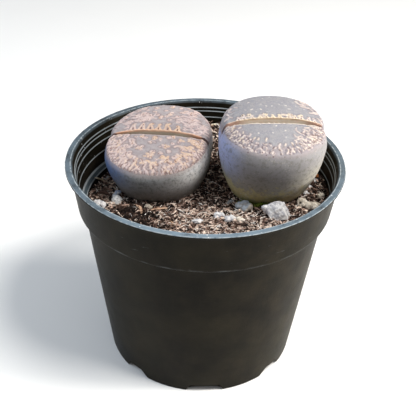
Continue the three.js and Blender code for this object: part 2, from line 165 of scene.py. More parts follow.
RIGHT_CLUMP_PLACES = (-10.9, -8.8, -4.2, 3.2, 5.6, 9.0)

# Where moss grows round the right pair's foot: its middle, its spread and the span that is searched,
# as angles, and how far out it starts and ends, as shares of the foot's outline
MOSS_ANGLE = math.radians(-104)
MOSS_SPREAD = 0.26
MOSS_SPAN = (-150, -30)
MOSS_START = 1.02
MOSS_WIDTH = 0.46
MOSS_FIRST_GUESS = 14

# Where each colour of the loose bits stands on its ramp, from the darkest tone to the palest
LITTER_STOPS = {
    "peat crumbs": {"peat_dark": 0.0, "peat": 0.3, "husk_dark": 0.5, "husk": 0.7, "husk_pale": 0.9},
    "husk chips": {"peat_dark": 0.0, "peat": 0.12, "husk_dark": 0.35, "husk": 0.6, "husk_pale": 0.9},
    "pale fibres": {"peat": 0.0, "husk_dark": 0.25, "husk": 0.5, "husk_pale": 0.75, "fibre": 0.95},
    "moss": {"moss_dark": 0.0, "moss": 0.6, "moss_tip": 0.95},
}

# The stones' materials: by slot or by node, each its name and its pale, dull, pit and second colours
STONE_LOOKS = {
    "white_pumice": ("white pumice", "white", "white_dull", "pit", "grey"),
    "grey_pumice": ("grey pumice", "grey", "grey_dull", "pit", "beige_dull"),
    "beige_pumice": ("beige pumice", "beige", "beige_dull", "pit", "grey"),
    # The left stone's pale colour is partly painted light
    "pumice_left": ("slate and white pumice", "white_clean", "white", "pit", "slate"),
    "pebble_beige": ("tan pebble", "beige_dull", "pit", "pit", "grey"),
}
# A stone's voxel, how rough its skin is and how wide its pits are, in millimetres
LARGE_STONE = (0.15, 0.14, 0.9)
SMALL_STONE = (0.11, 0.3, 0.6)

# Each scrap's kind, its slot and how far its ends fray, and the name of each kind's material
SCRAPS = {
    "twig_pale": ("straw", "pale_fibre", 0.4),
    "fibre_back": ("straw", "pale_fibre", 0.6),
    "chip_tan": ("tan", "pale_fibre", 1.0),
    "chip_red_a": ("rust", "red_chip", 1.0),
    "chip_red_b": ("rust", "red_chip", 1.0),
    "bark_orange": ("orange", "orange_bark", 0.8),
}
SCRAP_KINDS = {"straw": "straw", "tan": "tan husk", "rust": "red husk", "orange": "orange bark"}

# The stage: half the floor's side in millimetres, and in metres where the lights point to, then each
# light's name, place, diameter and colour
FLOOR_HALF = 2500.0
LIGHTS_AIM = Vector((0, 0, 0.06))
LIGHTS = (
    ("key", (0.33, -0.2, 0.74), 0.25, (1.0, 0.97, 0.93)),
    ("side", (0.75, -0.04, 0.3), 0.25, (1.0, 0.96, 0.9)),
    ("fill", (-0.6, -0.1, 0.55), 0.5, (0.72, 0.84, 1.0)),
)


def shade(code):
    """A linear colour from the hex code of its sRGB one."""
    parts = [int(code[i:i + 2], 16) / 255 for i in (1, 3, 5)]
    return tuple(part / 12.92 if part <= 0.04045 else ((part + 0.055) / 1.055) ** 2.4 for part in parts)


# Meshes

def smoothstep(value, low, high):
    part = np.clip((value - low) / (high - low), 0.0, 1.0)
    return part * part * (3 - 2 * part)


def between(low, high, part):
    return low + (high - low) * part


def fractal(point, size, octaves=4):
    """Smooth noise from -1 to 1 whose largest lumps are about the given size, in millimetres."""
    return noise.fractal(Vector(point) / size, 1.0, 2.0, octaves)


def circle(radius, x, y, count):
    angles = np.arange(count) * 2 * math.pi / count
    return [(x + radius * math.cos(a), y + radius * math.sin(a)) for a in angles]


def band(lower, upper):
    """Faces between two rings of points, each given by its points' numbers."""
    after = [*range(1, len(lower)), 0]
    return [(lower[i], lower[j], upper[j], upper[i]) for i, j in enumerate(after)]


def tube(count):
    """Faces of a closed tube between a ring of points and the next."""
    lower, upper = range(count), range(count, 2 * count)
    return [tuple(reversed(lower)), tuple(upper), *band(lower, upper)]


def new_object(name, points, faces, smooth=True):
    """A mesh object from points in millimetres and its faces."""
    mesh = bpy.data.meshes.new(name)
    mesh.from_pydata((np.asarray(points, float) * MM).tolist(), [], faces)
    if smooth:
        mesh.shade_smooth()
    piece = bpy.data.objects.new(name, mesh)
    bpy.context.scene.collection.objects.link(piece)
    return piece


def points_of(piece):
    """The mesh's points in millimetres."""
    flat = np.empty(len(piece.data.vertices) * 3)
    piece.data.vertices.foreach_get("co", flat)
    return flat.reshape(-1, 3) / MM


def normals_of(piece):
    flat = np.empty(len(piece.data.vertices) * 3)
    piece.data.vertex_normals.foreach_get("vector", flat)
    return flat.reshape(-1, 3)


def move_points(piece, points):
    piece.data.vertices.foreach_set("co", (np.asarray(points) * MM).ravel())
    piece.data.update()


def keep(piece, name, values):
    """Stores a number, or three of them, on each point, for the material to read."""
    values = np.asarray(values, float)
    kind = "FLOAT_VECTOR" if values.ndim == 2 else "FLOAT"
    attribute = piece.data.attributes.new(name, kind, "POINT")
    attribute.data.foreach_set("vector" if values.ndim == 2 else "value", values.ravel())


def settle(piece):
    """Turns the piece's modifiers into its mesh."""
    bpy.context.view_layer.update()
    shown = piece.evaluated_get(bpy.context.evaluated_depsgraph_get())
    mesh = bpy.data.meshes.new_from_object(shown)
    piece.modifiers.clear()
    old = piece.data
    piece.data = mesh
    bpy.data.meshes.remove(old)
    mesh.shade_smooth()


def cut(piece, cutters):
    """Cuts the cutters out of the piece and removes them."""
    for cutter in cutters:
        tool = piece.modifiers.new("cut", "BOOLEAN")
        tool.operation = "DIFFERENCE"
        tool.solver = "EXACT"
        tool.object = cutter
    settle(piece)
    for cutter in cutters:
        mesh = cutter.data
        bpy.data.objects.remove(cutter)
        bpy.data.meshes.remove(mesh)


def refine(piece, voxel, rounds):
    """Gives the piece an even fine mesh with softened edges. The voxel's size is in millimetres."""
    remesh = piece.modifiers.new("even", "REMESH")
    remesh.mode = "VOXEL"
    remesh.voxel_size = voxel * MM
    soften = piece.modifiers.new("soften", "SMOOTH")
    soften.factor = 0.5
    soften.iterations = rounds
    settle(piece)


def thin_out(piece, below, share):
    """Leaves only a share of the faces, taking those below a height in millimetres, which nobody sees."""
    heights = points_of(piece)[:, 2]
    group = piece.vertex_groups.new(name="hidden")
    group.add(np.nonzero(heights < below)[0].tolist(), 1.0, "REPLACE")
    fewer = piece.modifiers.new("fewer", "DECIMATE")
    fewer.ratio = share
    fewer.vertex_group = group.name
    settle(piece)
    piece.vertex_groups.clear()


def turned(profile, segments):
    """Points and faces of a [radius, height] outline turned about Z. It starts and ends on the axis."""
    points = [(0.0, 0.0, profile[0][1])]
    for radius, height in profile[1:-1]:
        points += [(x, y, height) for x, y in circle(radius, 0, 0, segments)]
    points.append((0.0, 0.0, profile[-1][1]))
    rings = [range(start, start + segments) for start in range(1, len(points) - 1, segments)]
    faces = [face for lower, upper in zip(rings, rings[1:]) for face in band(lower, upper)]
    end = len(points) - 1
    for i in range(segments):
        j = (i + 1) % segments
        faces += [(0, rings[0][j], rings[0][i]), (end, rings[-1][i], rings[-1][j])]
    return points, faces


# Materials

class Value:
    """A shader socket that takes part in sums: each sign adds its Math node."""

    def __init__(self, finish, socket):
        self.finish = finish
        self.socket = socket

    def __add__(self, other):
        return self.finish.math("ADD", self, other)

    __radd__ = __add__

    def __sub__(self, other):
        return self.finish.math("SUBTRACT", self, other)

    def __rsub__(self, other):
        return self.finish.math("SUBTRACT", other, self)

    def __mul__(self, other):
        return self.finish.math("MULTIPLY", self, other)

    __rmul__ = __mul__

    def __truediv__(self, other):
        return self.finish.math("DIVIDE", self, other)

    def __pow__(self, other):
        return self.finish.math("POWER", self, other)

    def __abs__(self):
        return self.finish.math("ABSOLUTE", self)


class Finish:
    """One material and the expressions that feed its shader."""

    def __init__(self, name, **constants):
        self.material = bpy.data.materials.new(name)
        self.material.use_nodes = True
        self.tree = self.material.node_tree
        self.shader = self.tree.nodes["Principled BSDF"]
        for socket, value in constants.items():
            self.shader.inputs[socket.replace("_", " ")].default_value = value

    def node(self, kind, settings=None, values=None, output=0):
        """Adds a node with its settings, then the values or links of its sockets."""
        made = self.tree.nodes.new(kind)
        for key, value in (settings or {}).items():
            if key == "stops":
                self.set_stops(made.color_ramp, value)
            else:
                setattr(made, key, value)
        for socket, value in (values or {}).items():
            self.feed(made.inputs[socket], value)
        return Value(self, made.outputs[output])

    @staticmethod
    def set_stops(ramp, stops):
        while len(ramp.elements) < len(stops):
            ramp.elements.new(1.0)
        for element, (place, colour) in zip(ramp.elements, stops):
            element.position = place
            element.color = (*colour, 1.0)

    def feed(self, socket, value):
        if isinstance(value, Value):
            self.tree.links.new(value.socket, socket)
        elif socket.type == "RGBA":
            socket.default_value = (*value, 1.0)
        else:
            socket.default_value = value

    def math(self, operation, *terms):
        return self.node("ShaderNodeMath", {"operation": operation}, dict(enumerate(terms)))

    def mix(self, share, first, second):
        settings = {"data_type": "RGBA"}
        return self.node("ShaderNodeMix", settings, {0: share, 6: first, 7: second}, 2)

    def ramp(self, value, stops):
        return self.node("ShaderNodeValToRGB", {"stops": stops}, {"Fac": value})

    def step(self, value, low, high):
        """0 below low and 1 above high, with a soft rise between; high may be the smaller one."""
        sockets = {"Value": value, "From Min": low, "From Max": high, "To Min": 0.0, "To Max": 1.0}
        return self.node("ShaderNodeMapRange", {"interpolation_type": "SMOOTHSTEP"}, sockets)

    def place(self):
        """The point's place in millimetres."""
        spot = self.node("ShaderNodeTexCoord", output="Object")
        return self.node("ShaderNodeVectorMath", {"operation": "SCALE"}, {0: spot, "Scale": 1 / MM})

    def kept(self, name, output="Fac"):
        """A number, or three as a Vector, that the mesh keeps on its points."""
        return self.node("ShaderNodeAttribute", {"attribute_name": name}, output=output)

    def parts(self, vector):
        """The X, Y and Z of a vector."""
        split = self.tree.nodes.new("ShaderNodeSeparateXYZ")
        self.feed(split.inputs[0], vector)
        return [Value(self, socket) for socket in split.outputs]

    def stretched(self, vector, x, y, z):
        return self.node("ShaderNodeVectorMath", {"operation": "MULTIPLY"}, {0: vector, 1: (x, y, z)})

    def lumps(self, vector, size, detail=3.0, roughness=0.55):
        """Noise from 0 to 1 whose lumps are about the given size in millimetres."""
        sockets = {"Vector": vector, "Scale": 1 / size, "Detail": detail, "Roughness": roughness}
        return self.node("ShaderNodeTexNoise", None, sockets)

    def cells(self, vector, size, output="Distance"):
        """Distance to the middle of the nearest cell, in cells of about the given size in millimetres."""
        return self.node("ShaderNodeTexVoronoi", None, {"Vector": vector, "Scale": 1 / size}, output)

    def bump(self, height, depth):
        """A bump whose height of 1 stands for the given depth in millimetres."""
        made = self.node("ShaderNodeBump", None, {"Height": height, "Distance": depth * MM})
        self.feed(self.shader.inputs["Normal"], made)

    def set(self, **sockets):
        for name, value in sockets.items():
            self.feed(self.shader.inputs[name.replace("_", " ")], value)


def hand_over(piece, finish, slot, *nodes):
    """Gives the piece its material and its body, and hides the solids that it stands for. The slot is not
    used.
    """
    piece.data.materials.clear()
    piece.data.materials.append(finish.material)
    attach(piece, "root")
    if nodes:
        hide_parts(*nodes)


# Pot

def wall_radius(height):
    return between(FOOT_RADIUS, WALL_TOP_RADIUS, height / WALL_TOP_HEIGHT)


def collar_radius(height):
    part = (height - COLLAR_FOOT_HEIGHT) / (RIM_HEIGHT - COLLAR_FOOT_HEIGHT)
    return between(COLLAR_FOOT_RADIUS, COLLAR_TOP_RADIUS, part)


LEDGE_FOOT = (wall_radius(WALL_TOP_HEIGHT) - WALL, WALL_TOP_HEIGHT + 0.35)
LEDGE_EDGE = (COLLAR_FOOT_RADIUS - COLLAR_WALL, COLLAR_FOOT_HEIGHT + 0.45)


def corner(before, point, after, radius):
    """A rounded corner: a curve from before to after that bends at the point."""
    before, point, after = (np.array(p, float) for p in (before, point, after))
    start = point + (before - point) / np.linalg.norm(before - point) * radius
    end = point + (after - point) / np.linalg.norm(after - point) * radius
    return [tuple((1 - t) ** 2 * start + 2 * t * (1 - t) * point + t * t * end) for t in np.linspace(0, 1, 5)]


def rounded(path, radius):
    """A path whose inner corners are rounded."""
    smooth = [path[0]]
    for before, point, after in zip(path, path[1:], path[2:]):
        reach = min(math.dist(before, point), math.dist(point, after)) * 0.45
        smooth += corner(before, point, after, min(radius, reach))
    return smooth + [path[-1]]


def filled(path, step):
    """The path with points added so that none is further than the step from the next."""
    dense = []
    for start, end in zip(path, path[1:]):
        steps = max(1, math.ceil(math.dist(start, end) / step))
        dense += [tuple(between(np.array(start), np.array(end), i / steps)) for i in range(steps)]
    return dense + [path[-1]]


def pot_profile():
    inner = [(collar_radius(RIM_HEIGHT) - COLLAR_WALL, RIM_HEIGHT - 0.8)]
    for depth in RING_DEPTHS:
        height = RIM_HEIGHT - depth
        inner += [
            (collar_radius(height + 0.1) - COLLAR_WALL, height + 0.1),
            (collar_radius(height) - COLLAR_WALL - RING_HEIGHT, height - 0.06),
            (collar_radius(height - RING_WIDTH) - COLLAR_WALL, height - RING_WIDTH),
        ]
    outside = [
        (0.0, FLOOR_UNDERSIDE),
        (FOOT_RADIUS - FOOT_RING_WIDTH - 0.2, FLOOR_UNDERSIDE),
        (FOOT_RADIUS - FOOT_RING_WIDTH, 0.0),
        (FOOT_RADIUS - 0.1, 0.0),
        (wall_radius(0.5), 0.5),
        (WALL_TOP_RADIUS, WALL_TOP_HEIGHT),
        (COLLAR_FOOT_RADIUS - 0.1, COLLAR_FOOT_HEIGHT - 0.15),
        (collar_radius(COLLAR_FOOT_HEIGHT + 0.4), COLLAR_FOOT_HEIGHT + 0.4),
        (collar_radius(RIM_HEIGHT - LIP_DEPTH), RIM_HEIGHT - LIP_DEPTH - 0.3),
        (RIM_RADIUS - 0.1, RIM_HEIGHT - LIP_DEPTH + 0.05),
        (RIM_RADIUS, RIM_HEIGHT - LIP_DEPTH / 2),
        (RIM_RADIUS - 0.15, RIM_HEIGHT - 0.02),
        (RIM_FLAT_RADIUS, RIM_HEIGHT),
    ]
    inside = [
        LEDGE_EDGE,
        LEDGE_FOOT,
        (wall_radius(FLOOR_TOP + 1) - WALL, FLOOR_TOP + 1),
        (wall_radius(FLOOR_TOP) - WALL - 1, FLOOR_TOP),
        (0.0, FLOOR_TOP),
    ]
    return filled(rounded(outside + inner + inside, EDGE_ROUNDING), PROFILE_STEP)


def warped(points):
    """Moves the pot's points slightly out of round, and roughens its lip most."""
    moved = []
    for x, y, z in points:
        out = fractal((x, y, z * 0.4), 26, 2) - 0.6
        lip = fractal((x, y, z), 2.2, 3) * (0.07 if z > RIM_HEIGHT - 1 else 0.015)
        share = 1 + (0.12 * out * z / RIM_HEIGHT + lip - 0.04) / max(math.hypot(x, y), 1)
        moved.append((x * share, y * share, z))
    return moved


def notch_cutter(notch, angle):
    """A slot through the foot, narrower at its top, from the floor's edge outward."""
    flare = (notch["at_foot"] - notch["at_top"]) / 2 / NOTCH_HEIGHT
    levels = [(-1.0, notch["at_foot"] / 2 + flare), (NOTCH_HEIGHT, notch["at_top"] / 2)]
    points = []
    for radius in (notch["root_radius"], notch["root_radius"] + NOTCH_REACH):
        for height, half in levels:
            points += [(radius, -half, height), (radius, half, height)]
    turn = np.array(Matrix.Rotation(angle, 3, "Z"))
    faces = [(0, 2, 3, 1), (4, 5, 7, 6), (0, 1, 5, 4), (2, 6, 7, 3), (0, 4, 6, 2), (1, 3, 7, 5)]
    return new_object("notch", np.array(points) @ turn.T, faces, smooth=False)


def drain_cutter(radius, x, y, count):
    """An upright round plug through the floor."""
    outline = circle(radius, x, y, count)
    points = [(*spot, height) for height in (-1, FLOOR_TOP + 1) for spot in outline]
    return new_object("drain", points, tube(count), smooth=False)


def pot_finish(looks):
    finish = Finish("matte black plastic", Specular_IOR_Level=0.06)
    mix, step, lumps = finish.mix, finish.step, finish.lumps
    place = finish.place()
    x, y, z = finish.parts(place)
    radius = (x * x + y * y) ** 0.5
    around = finish.math("ARCTAN2", y, x) * RIM_RADIUS
    unrolled = finish.node("ShaderNodeCombineXYZ", None, {0: around, 1: z, 2: radius})
    upright = finish.parts(finish.node("ShaderNodeNewGeometry", output="Normal"))[2]
    broad = lumps(place, 22, 2)
    cloudy = lumps(place, 5, 4)
    fine = lumps(place, 0.5, 3)
    streaks = lumps(finish.stretched(unrolled, 1, 0.06, 1), 1.2, 3)
    scuffs = lumps(finish.stretched(unrolled, 0.25, 2.2, 1), 1.4, 4)
    colour = mix(step(broad, 0.3, 0.8), looks.plastic, looks.worn_plastic)
    colour = mix(step(streaks, 0.5, 0.9) * 0.4, colour, looks.worn_plastic)
    colour = mix(step(scuffs, 0.68, 0.8) * step(z, 60, 66) * 0.22, colour, looks.rubbed_and_highlight)
    # A film of dust on the outside; it is laid on thicker toward the right as painted light from the right
    film = step(lumps(place, 9, 5, 0.65), 0.3, 0.85) * step(radius, 34, 36)
    colour = mix(film * (0.14 + 0.2 * step(x, -5, 42)), colour, looks.film)
    # A thin film of dust lies on what faces up, in a blue grey that is partly painted reflection of the sky
    dust_and_sky_reflection = step(upright, 0.35, 0.9) * step(z, 60, 62) * step(cloudy + 0.5 * fine, 0.4, 0.95)
    colour = mix(dust_and_sky_reflection * 0.45, colour, looks.dust)
    inside = step(z, COLLAR_FOOT_HEIGHT - 0.1, COLLAR_FOOT_HEIGHT + 0.2) * step(
        collar_radius(z) - radius, COLLAR_WALL - 0.6, COLLAR_WALL - 0.2)
    # Painted highlights along the crests of the rings inside the collar
    for depth in RING_DEPTHS:
        crest = abs(z - (RIM_HEIGHT - depth - 0.06))
        colour = mix(step(crest, 0.32, 0.1) * inside * (0.25 + 0.5 * cloudy), colour, looks.rubbed_and_highlight)
    # The ledge at the collar's foot, in a grey blue that is painted reflection of the sky, with a lighter
    # edge that is painted highlight
    on_ledge = step(z, WALL_TOP_HEIGHT - 0.15, WALL_TOP_HEIGHT + 0.25)
    on_ledge = on_ledge * step(z, COLLAR_FOOT_HEIGHT + 0.95, COLLAR_FOOT_HEIGHT + 0.55)
    on_ledge = on_ledge * step(radius, COLLAR_FOOT_RADIUS - 0.9, COLLAR_FOOT_RADIUS - 1.2)
    colour = mix(on_ledge * (0.5 + 0.5 * cloudy), colour, looks.ledge)
    ledge_edge = step(abs(z - LEDGE_EDGE[1]), 0.4, 0.15) + step(
        abs(z - LEDGE_FOOT[1]), 0.25, 0.1)
    colour = mix(ledge_edge * on_ledge * 0.75, colour, looks.rubbed_and_highlight)
    # The rim: a slate blue flat of dust between two edges that are worn light
    on_rim = step(radius, RIM_FLAT_RADIUS - 0.5, RIM_FLAT_RADIUS - 0.1) * step(upright, 0.2, 0.8)
    on_rim = on_rim * step(z, RIM_HEIGHT - 0.7, RIM_HEIGHT - 0.3)
    swept = lumps(finish.stretched(unrolled, 0.2, 1, 1.6), 0.9, 4)
    # The dust's blue, and its thinning toward the back, the right and the far left, are partly painted
    # reflection of the sky
    rim_dust_and_reflection = step(0.5 * cloudy + 0.6 * swept + 0.3 * (fine - 0.5), 0.2, 0.62)
    rim_dust_and_reflection = rim_dust_and_reflection * (1 - 0.7 * step(y, -5, 30)) * (1 - 0.45 * step(x, 5, 40))
    rim_dust_and_reflection = rim_dust_and_reflection * (1 - 0.6 * step(x, -15, -42))
    colour = mix(on_rim * looks.rim_dust_and_reflection_share * rim_dust_and_reflection, colour, looks.dust)
    edges = step(abs(radius - RIM_FLAT_RADIUS - 0.1), 0.25, 0.05) + step(
        abs(radius - RIM_RADIUS + 0.3), 0.22, 0.05)
    chipped = step(lumps(place, 1.6, 4), 0.35, 0.6)
    colour = mix(edges * on_rim * chipped * 0.8, colour, looks.rubbed_and_highlight)
    # Bright specks of grit on the rim and inside the collar
    grit_here = step(lumps(place, 6, 2), 0.58, 0.68) * step(z, 66, 68)
    specks = step(finish.cells(place, 1.5), 0.22, 0.12) * grit_here
    colour = mix(specks * finish.math("MAXIMUM", inside, on_rim) * 0.8, colour, looks.speck)
    # The collar's foot is worn light along its edge
    foot_line = step(z, COLLAR_FOOT_HEIGHT - 0.25, COLLAR_FOOT_HEIGHT) * step(
        z, COLLAR_FOOT_HEIGHT + 0.7, COLLAR_FOOT_HEIGHT + 0.35)
    outer = step(radius, COLLAR_FOOT_RADIUS - 0.6, COLLAR_FOOT_RADIUS - 0.3)
    colour = mix(foot_line * outer * step(cloudy, 0.4, 0.7) * 0.12, colour, looks.rubbed_and_highlight)
    # Soil has stained the inside just above its own level
    stained = step(z, 71, 66.5) * inside * step(cloudy, 0.4, 0.8)
    colour = mix(stained * 0.4, colour, looks.stain)
    finish.set(Base_Color=colour, Roughness=0.36 + 0.16 * cloudy + 0.25 * dust_and_sky_reflection)
    finish.bump(0.6 * fine + 0.3 * streaks + 0.3 * scuffs, 0.05)
    return finish


# Soil

def soil_level(x, y):
    """The soil's mean height: it leans, with a bank at the back and a dip at the left."""
    lean = (1.2 * x + 1.8 * y) / 44
    bank = 2.9 * math.exp(-((x - 2) ** 2 + (y - 42) ** 2) / 288)
    dip = 4.5 * math.exp(-((x + 40) ** 2 + (y - 16) ** 2) / 392)
    return RIM_HEIGHT - SOIL_DEPTH_BELOW_RIM + lean + bank - dip


def soil_top(x, y):
    """The soil's surface as its solid has it: its level and its coarse crumbs."""
    coarse = math.sin(0.71 * x + 0.33 * y + 1.1) * math.sin(0.29 * x - 0.83 * y + 0.4)
    fine = math.sin(0.97 * x - 0.62 * y) * math.sin(0.58 * x + 1.04 * y + 2.0)
    return soil_level(x, y) + 0.45 * (coarse + fine)


def soil_surface(x, y):
    """The soil's surface with its fine relief."""
    rough = 0.5 * fractal((x, y, 3.0), 3.2, 3) + 0.22 * fractal((x, y, 9.0), 0.9, 2)
    return soil_top(x, y) + rough


def soil_wall(height):
    """How far the soil reaches at a height inside the pot."""
    if height > LEDGE_EDGE[1]:
        return collar_radius(height) - COLLAR_WALL - CLEARANCE
    if height > LEDGE_FOOT[1]:
        part = (height - LEDGE_FOOT[1]) / (LEDGE_EDGE[1] - LEDGE_FOOT[1])
        return between(LEDGE_FOOT[0], LEDGE_EDGE[0], part) - CLEARANCE
    if height > FLOOR_TOP + 1:
        return wall_radius(height) - WALL - CLEARANCE
    return wall_radius(height) - WALL - CLEARANCE - (FLOOR_TOP + 1 - height)


def soil_edge(angle):
    """The radius where the soil's surface meets the pot, in one direction."""
    reach = LEDGE_FOOT[0]
    for _ in range(6):
        reach = soil_wall(soil_top(reach * math.cos(angle), reach * math.sin(angle)))
    return reach


# Heights at which the soil's side bends: over and under the pot's ledge, then down to the floor
SOIL_SIDE_LEVELS = (
    LEDGE_EDGE[1] + 0.1, LEDGE_FOOT[1] - 0.1, 45.0, 25.0, FLOOR_TOP + 1.1, FLOOR_TOP + CLEARANCE)


def soil_body(cells):
    """The soil as one closed body: a fine rough top, sides along the pot and a flat foot."""
    # A square grid pressed round, so that its border is the pot's wall
    steps = np.linspace(-1, 1, cells + 1)
    points = []
    edges = {}
    for v in steps:
        for u in steps:
            share = max(abs(u), abs(v))
            if share == 0:
                points.append((0.0, 0.0, soil_surface(0, 0)))
                continue
            if abs(u) >= abs(v):
                angle = math.pi / 4 * v / u + (math.pi if u < 0 else 0)
            else:
                angle = math.pi / 2 - math.pi / 4 * u / v + (math.pi if v < 0 else 0)
            key = round(angle, 4)
            if key not in edges:
                edges[key] = soil_edge(angle)
            x = edges[key] * share * math.cos(angle)
            y = edges[key] * share * math.sin(angle)
            points.append((x, y, soil_surface(x, y)))
    row = cells + 1
    numbers = np.arange(row * row).reshape(row, row)
    corners = (numbers[:-1, :-1], numbers[:-1, 1:], numbers[1:, 1:], numbers[1:, :-1])
    faces = np.stack(corners, -1).reshape(-1, 4).tolist()
    above = np.concatenate((numbers[0], numbers[1:, -1], numbers[-1, -2::-1], numbers[-2:0:-1, 0])).tolist()
    border = [points[i] for i in above]
    for step, level in enumerate(SOIL_SIDE_LEVELS):
        ring = range(len(points), len(points) + len(border))
        for x, y, z in border:
            height = min(level, z - 0.3 * (step + 1))
            reach = soil_wall(height) / math.hypot(x, y)
            points.append((x * reach, y * reach, height))
        faces += band(ring, above)
        above = ring
    faces.append(tuple(reversed(above)))
    return new_object("soil_body", points, faces)


def plant_plan(pair, x, y):
    """Where a point lies in a pair's plan at soil level: under 1 is inside its outline."""
    turn = math.radians(pair.turn)
    dx = x - pair.foot[0]
    dy = y - pair.foot[1]
    along = dx * math.cos(turn) + dy * math.sin(turn)
    across = -dx * math.sin(turn) + dy * math.cos(turn)
    reach = pair.near_reach if across < 0 else pair.far_reach
    share = abs(along / pair.half_width) ** OUTLINE_POWER + abs(across / reach) ** OUTLINE_POWER
    return share ** (1 / OUTLINE_POWER) / pair.soil_share


def grit_boxes():
    """The plan boxes of the stones, in millimetres."""
    boxes = []
    for name in frame["nodes"]:
        if name.startswith(("pumice", "perlite", "grain", "pebble")):
            low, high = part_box(name)
            boxes.append([value / MM for value in (low[0], low[1], high[0], high[1])])
    return boxes


def scrap_points():
    """The plan points of the scraps' solids, in millimetres."""
    names = [name for name in sorted(frame["nodes"]) if name.startswith(("twig", "fibre", "chip", "bark"))]
    return np.vstack([points_of(frame["nodes"][name])[:, :2] for name in names])


SCRAP_POINTS = scrap_points()


def on_open_soil(x, y, boxes):
    """True where nothing else stands."""
    if np.hypot(SCRAP_POINTS[:, 0] - x, SCRAP_POINTS[:, 1] - y).min() < SCRAP_ROOM:
        return False
    if min(plant_plan(LEFT_PAIR, x, y), plant_plan(RIGHT_PAIR, x, y)) < PLANT_ROOM:
        return False
    for left, near, right, far in boxes:
        along = (x - (left + right) / 2) / (right - left)
        across = (y - (near + far) / 2) / (far - near)
        if along ** 2 + across ** 2 < STONE_ROOM:
            return False
    return True


def scatter_spots(count, random, boxes):
    """Places on the open soil, each with its height, spread evenly by chance."""
    spots = []
    while len(spots) < count:
        angle = 2 * math.pi * random.random()
        radius = math.sqrt(random.random()) * (soil_edge(angle) - 0.8)
        x = radius * math.cos(angle)
        y = radius * math.sin(angle)
        if on_open_soil(x, y, boxes):
            spots.append((x, y, soil_surface(x, y)))
    return np.array(spots)


def moss_spots(count, random):
    """Places round the right pair's foot, thickest in one direction."""
    foot = np.array(RIGHT_PAIR.foot)
    spots = []
    while len(spots) < count:
        angle = math.radians(between(*MOSS_SPAN, random.random()))
        reach = MOSS_START + MOSS_WIDTH * random.random() ** 1.3
        away = MOSS_FIRST_GUESS
        for _ in range(4):
            away *= reach / plant_plan(RIGHT_PAIR, *(foot + ray(angle, away)))
        x, y = foot + ray(angle, away)
        if random.random() < math.exp(-((angle - MOSS_ANGLE) / MOSS_SPREAD) ** 2):
            spots.append((x, y, soil_surface(x, y) + 0.3 + 1.5 * random.random()))
    return np.array(spots)


def within_pot(points):
    """Pushes in what would reach through the pot's wall."""
    heights = np.linspace(LEDGE_FOOT[1] - 6, RIM_HEIGHT, 200)
    limit = np.interp(points[:, 2], heights, [soil_wall(height) for height in heights])
    radius = np.hypot(points[:, 0], points[:, 1])
    share = np.minimum(1, limit / np.maximum(radius, 1))
    return points * np.stack([share, share, np.ones(len(points))], 1)


def splinter_shape(sides, rings):
    """A unit splinter along X: its points as (along, angle) and its faces, with pointed ends."""
    angles = np.arange(sides) * 2 * math.pi / sides
    points = [(along, angle) for along in np.linspace(-1, 1, rings) for angle in angles]
    faces = []
    for low in range(0, (rings - 1) * sides, sides):
        for i in range(sides):
            j = (i + 1) % sides
            faces.append((low + i, low + sides + i, low + sides + j, low + j))
    faces.append(tuple(range(sides)))
    faces.append(tuple(reversed(range((rings - 1) * sides, rings * sides))))
    return np.array(points), faces


def turn_matrices(yaw, pitch, roll):
    """Rotations as arrays: roll about X, then pitch about Y, then yaw about Z."""
    cy, sy = np.cos(yaw), np.sin(yaw)
    cp, sp = np.cos(pitch), np.sin(pitch)
    cr, sr = np.cos(roll), np.sin(roll)
    rows = [
        [cy * cp, cy * sp * sr - sy * cr, cy * sp * cr + sy * sr],
        [sy * cp, sy * sp * sr + cy * cr, sy * sp * cr - cy * sr],
        [-sp, cp * sr, cp * cr],
    ]
    return np.stack([np.stack(r, -1) for r in rows], -2)


def scattered(name, local, turns, spots, shape_faces, smooth=True):
    """One mesh of many bits, each turned and set on its spot, and kept within the pot."""
    world = np.einsum("nij,npj->npi", turns, local) + spots[:, None, :]
    starts = (np.arange(len(spots)) * local.shape[1]).tolist()
    faces = [tuple(start + i for i in face) for start in starts for face in shape_faces]
    return new_object(name, within_pot(world.reshape(-1, 3)), faces, smooth)


def scatter_splinters(name, spots, sizes, tones, random, rings=4, tilt=0.35, bend=0.25, ragged=0.25):
    """Many bent, ragged splinters in one mesh. Sizes are length, width and thickness."""
    shape, shape_faces = splinter_shape(3, rings)
    count = len(spots)
    along, angle = shape[:, 0], shape[:, 1]
    taper = np.sqrt(np.clip(1.06 - np.abs(along) ** 3, 0.05, 1))
    shake = 1 + ragged * (random.random((count, len(shape))) * 2 - 1)
    bow = bend * (random.random((count, 1)) * 2 - 1)
    x = along * sizes[:, :1] / 2 * (1 + 0.08 * (shake - 1))
    y = np.cos(angle) * taper * shake * sizes[:, 1:2] / 2 + bow * (1 - along ** 2) * sizes[:, :1]
    z = np.sin(angle) * taper * shake * sizes[:, 2:3] / 2
    yaw = random.random(count) * 2 * math.pi
    pitch = (random.random(count) * 2 - 1) * tilt
    roll = (random.random(count) * 2 - 1) * math.pi
    turns = turn_matrices(yaw, pitch, np.where(random.random(count) < 0.5, roll, roll * 0.3))
    piece = scattered(name, np.stack([x, y, z], -1), turns, spots, shape_faces)
    keep(piece, "tone", np.repeat(tones, len(shape)))
    return piece


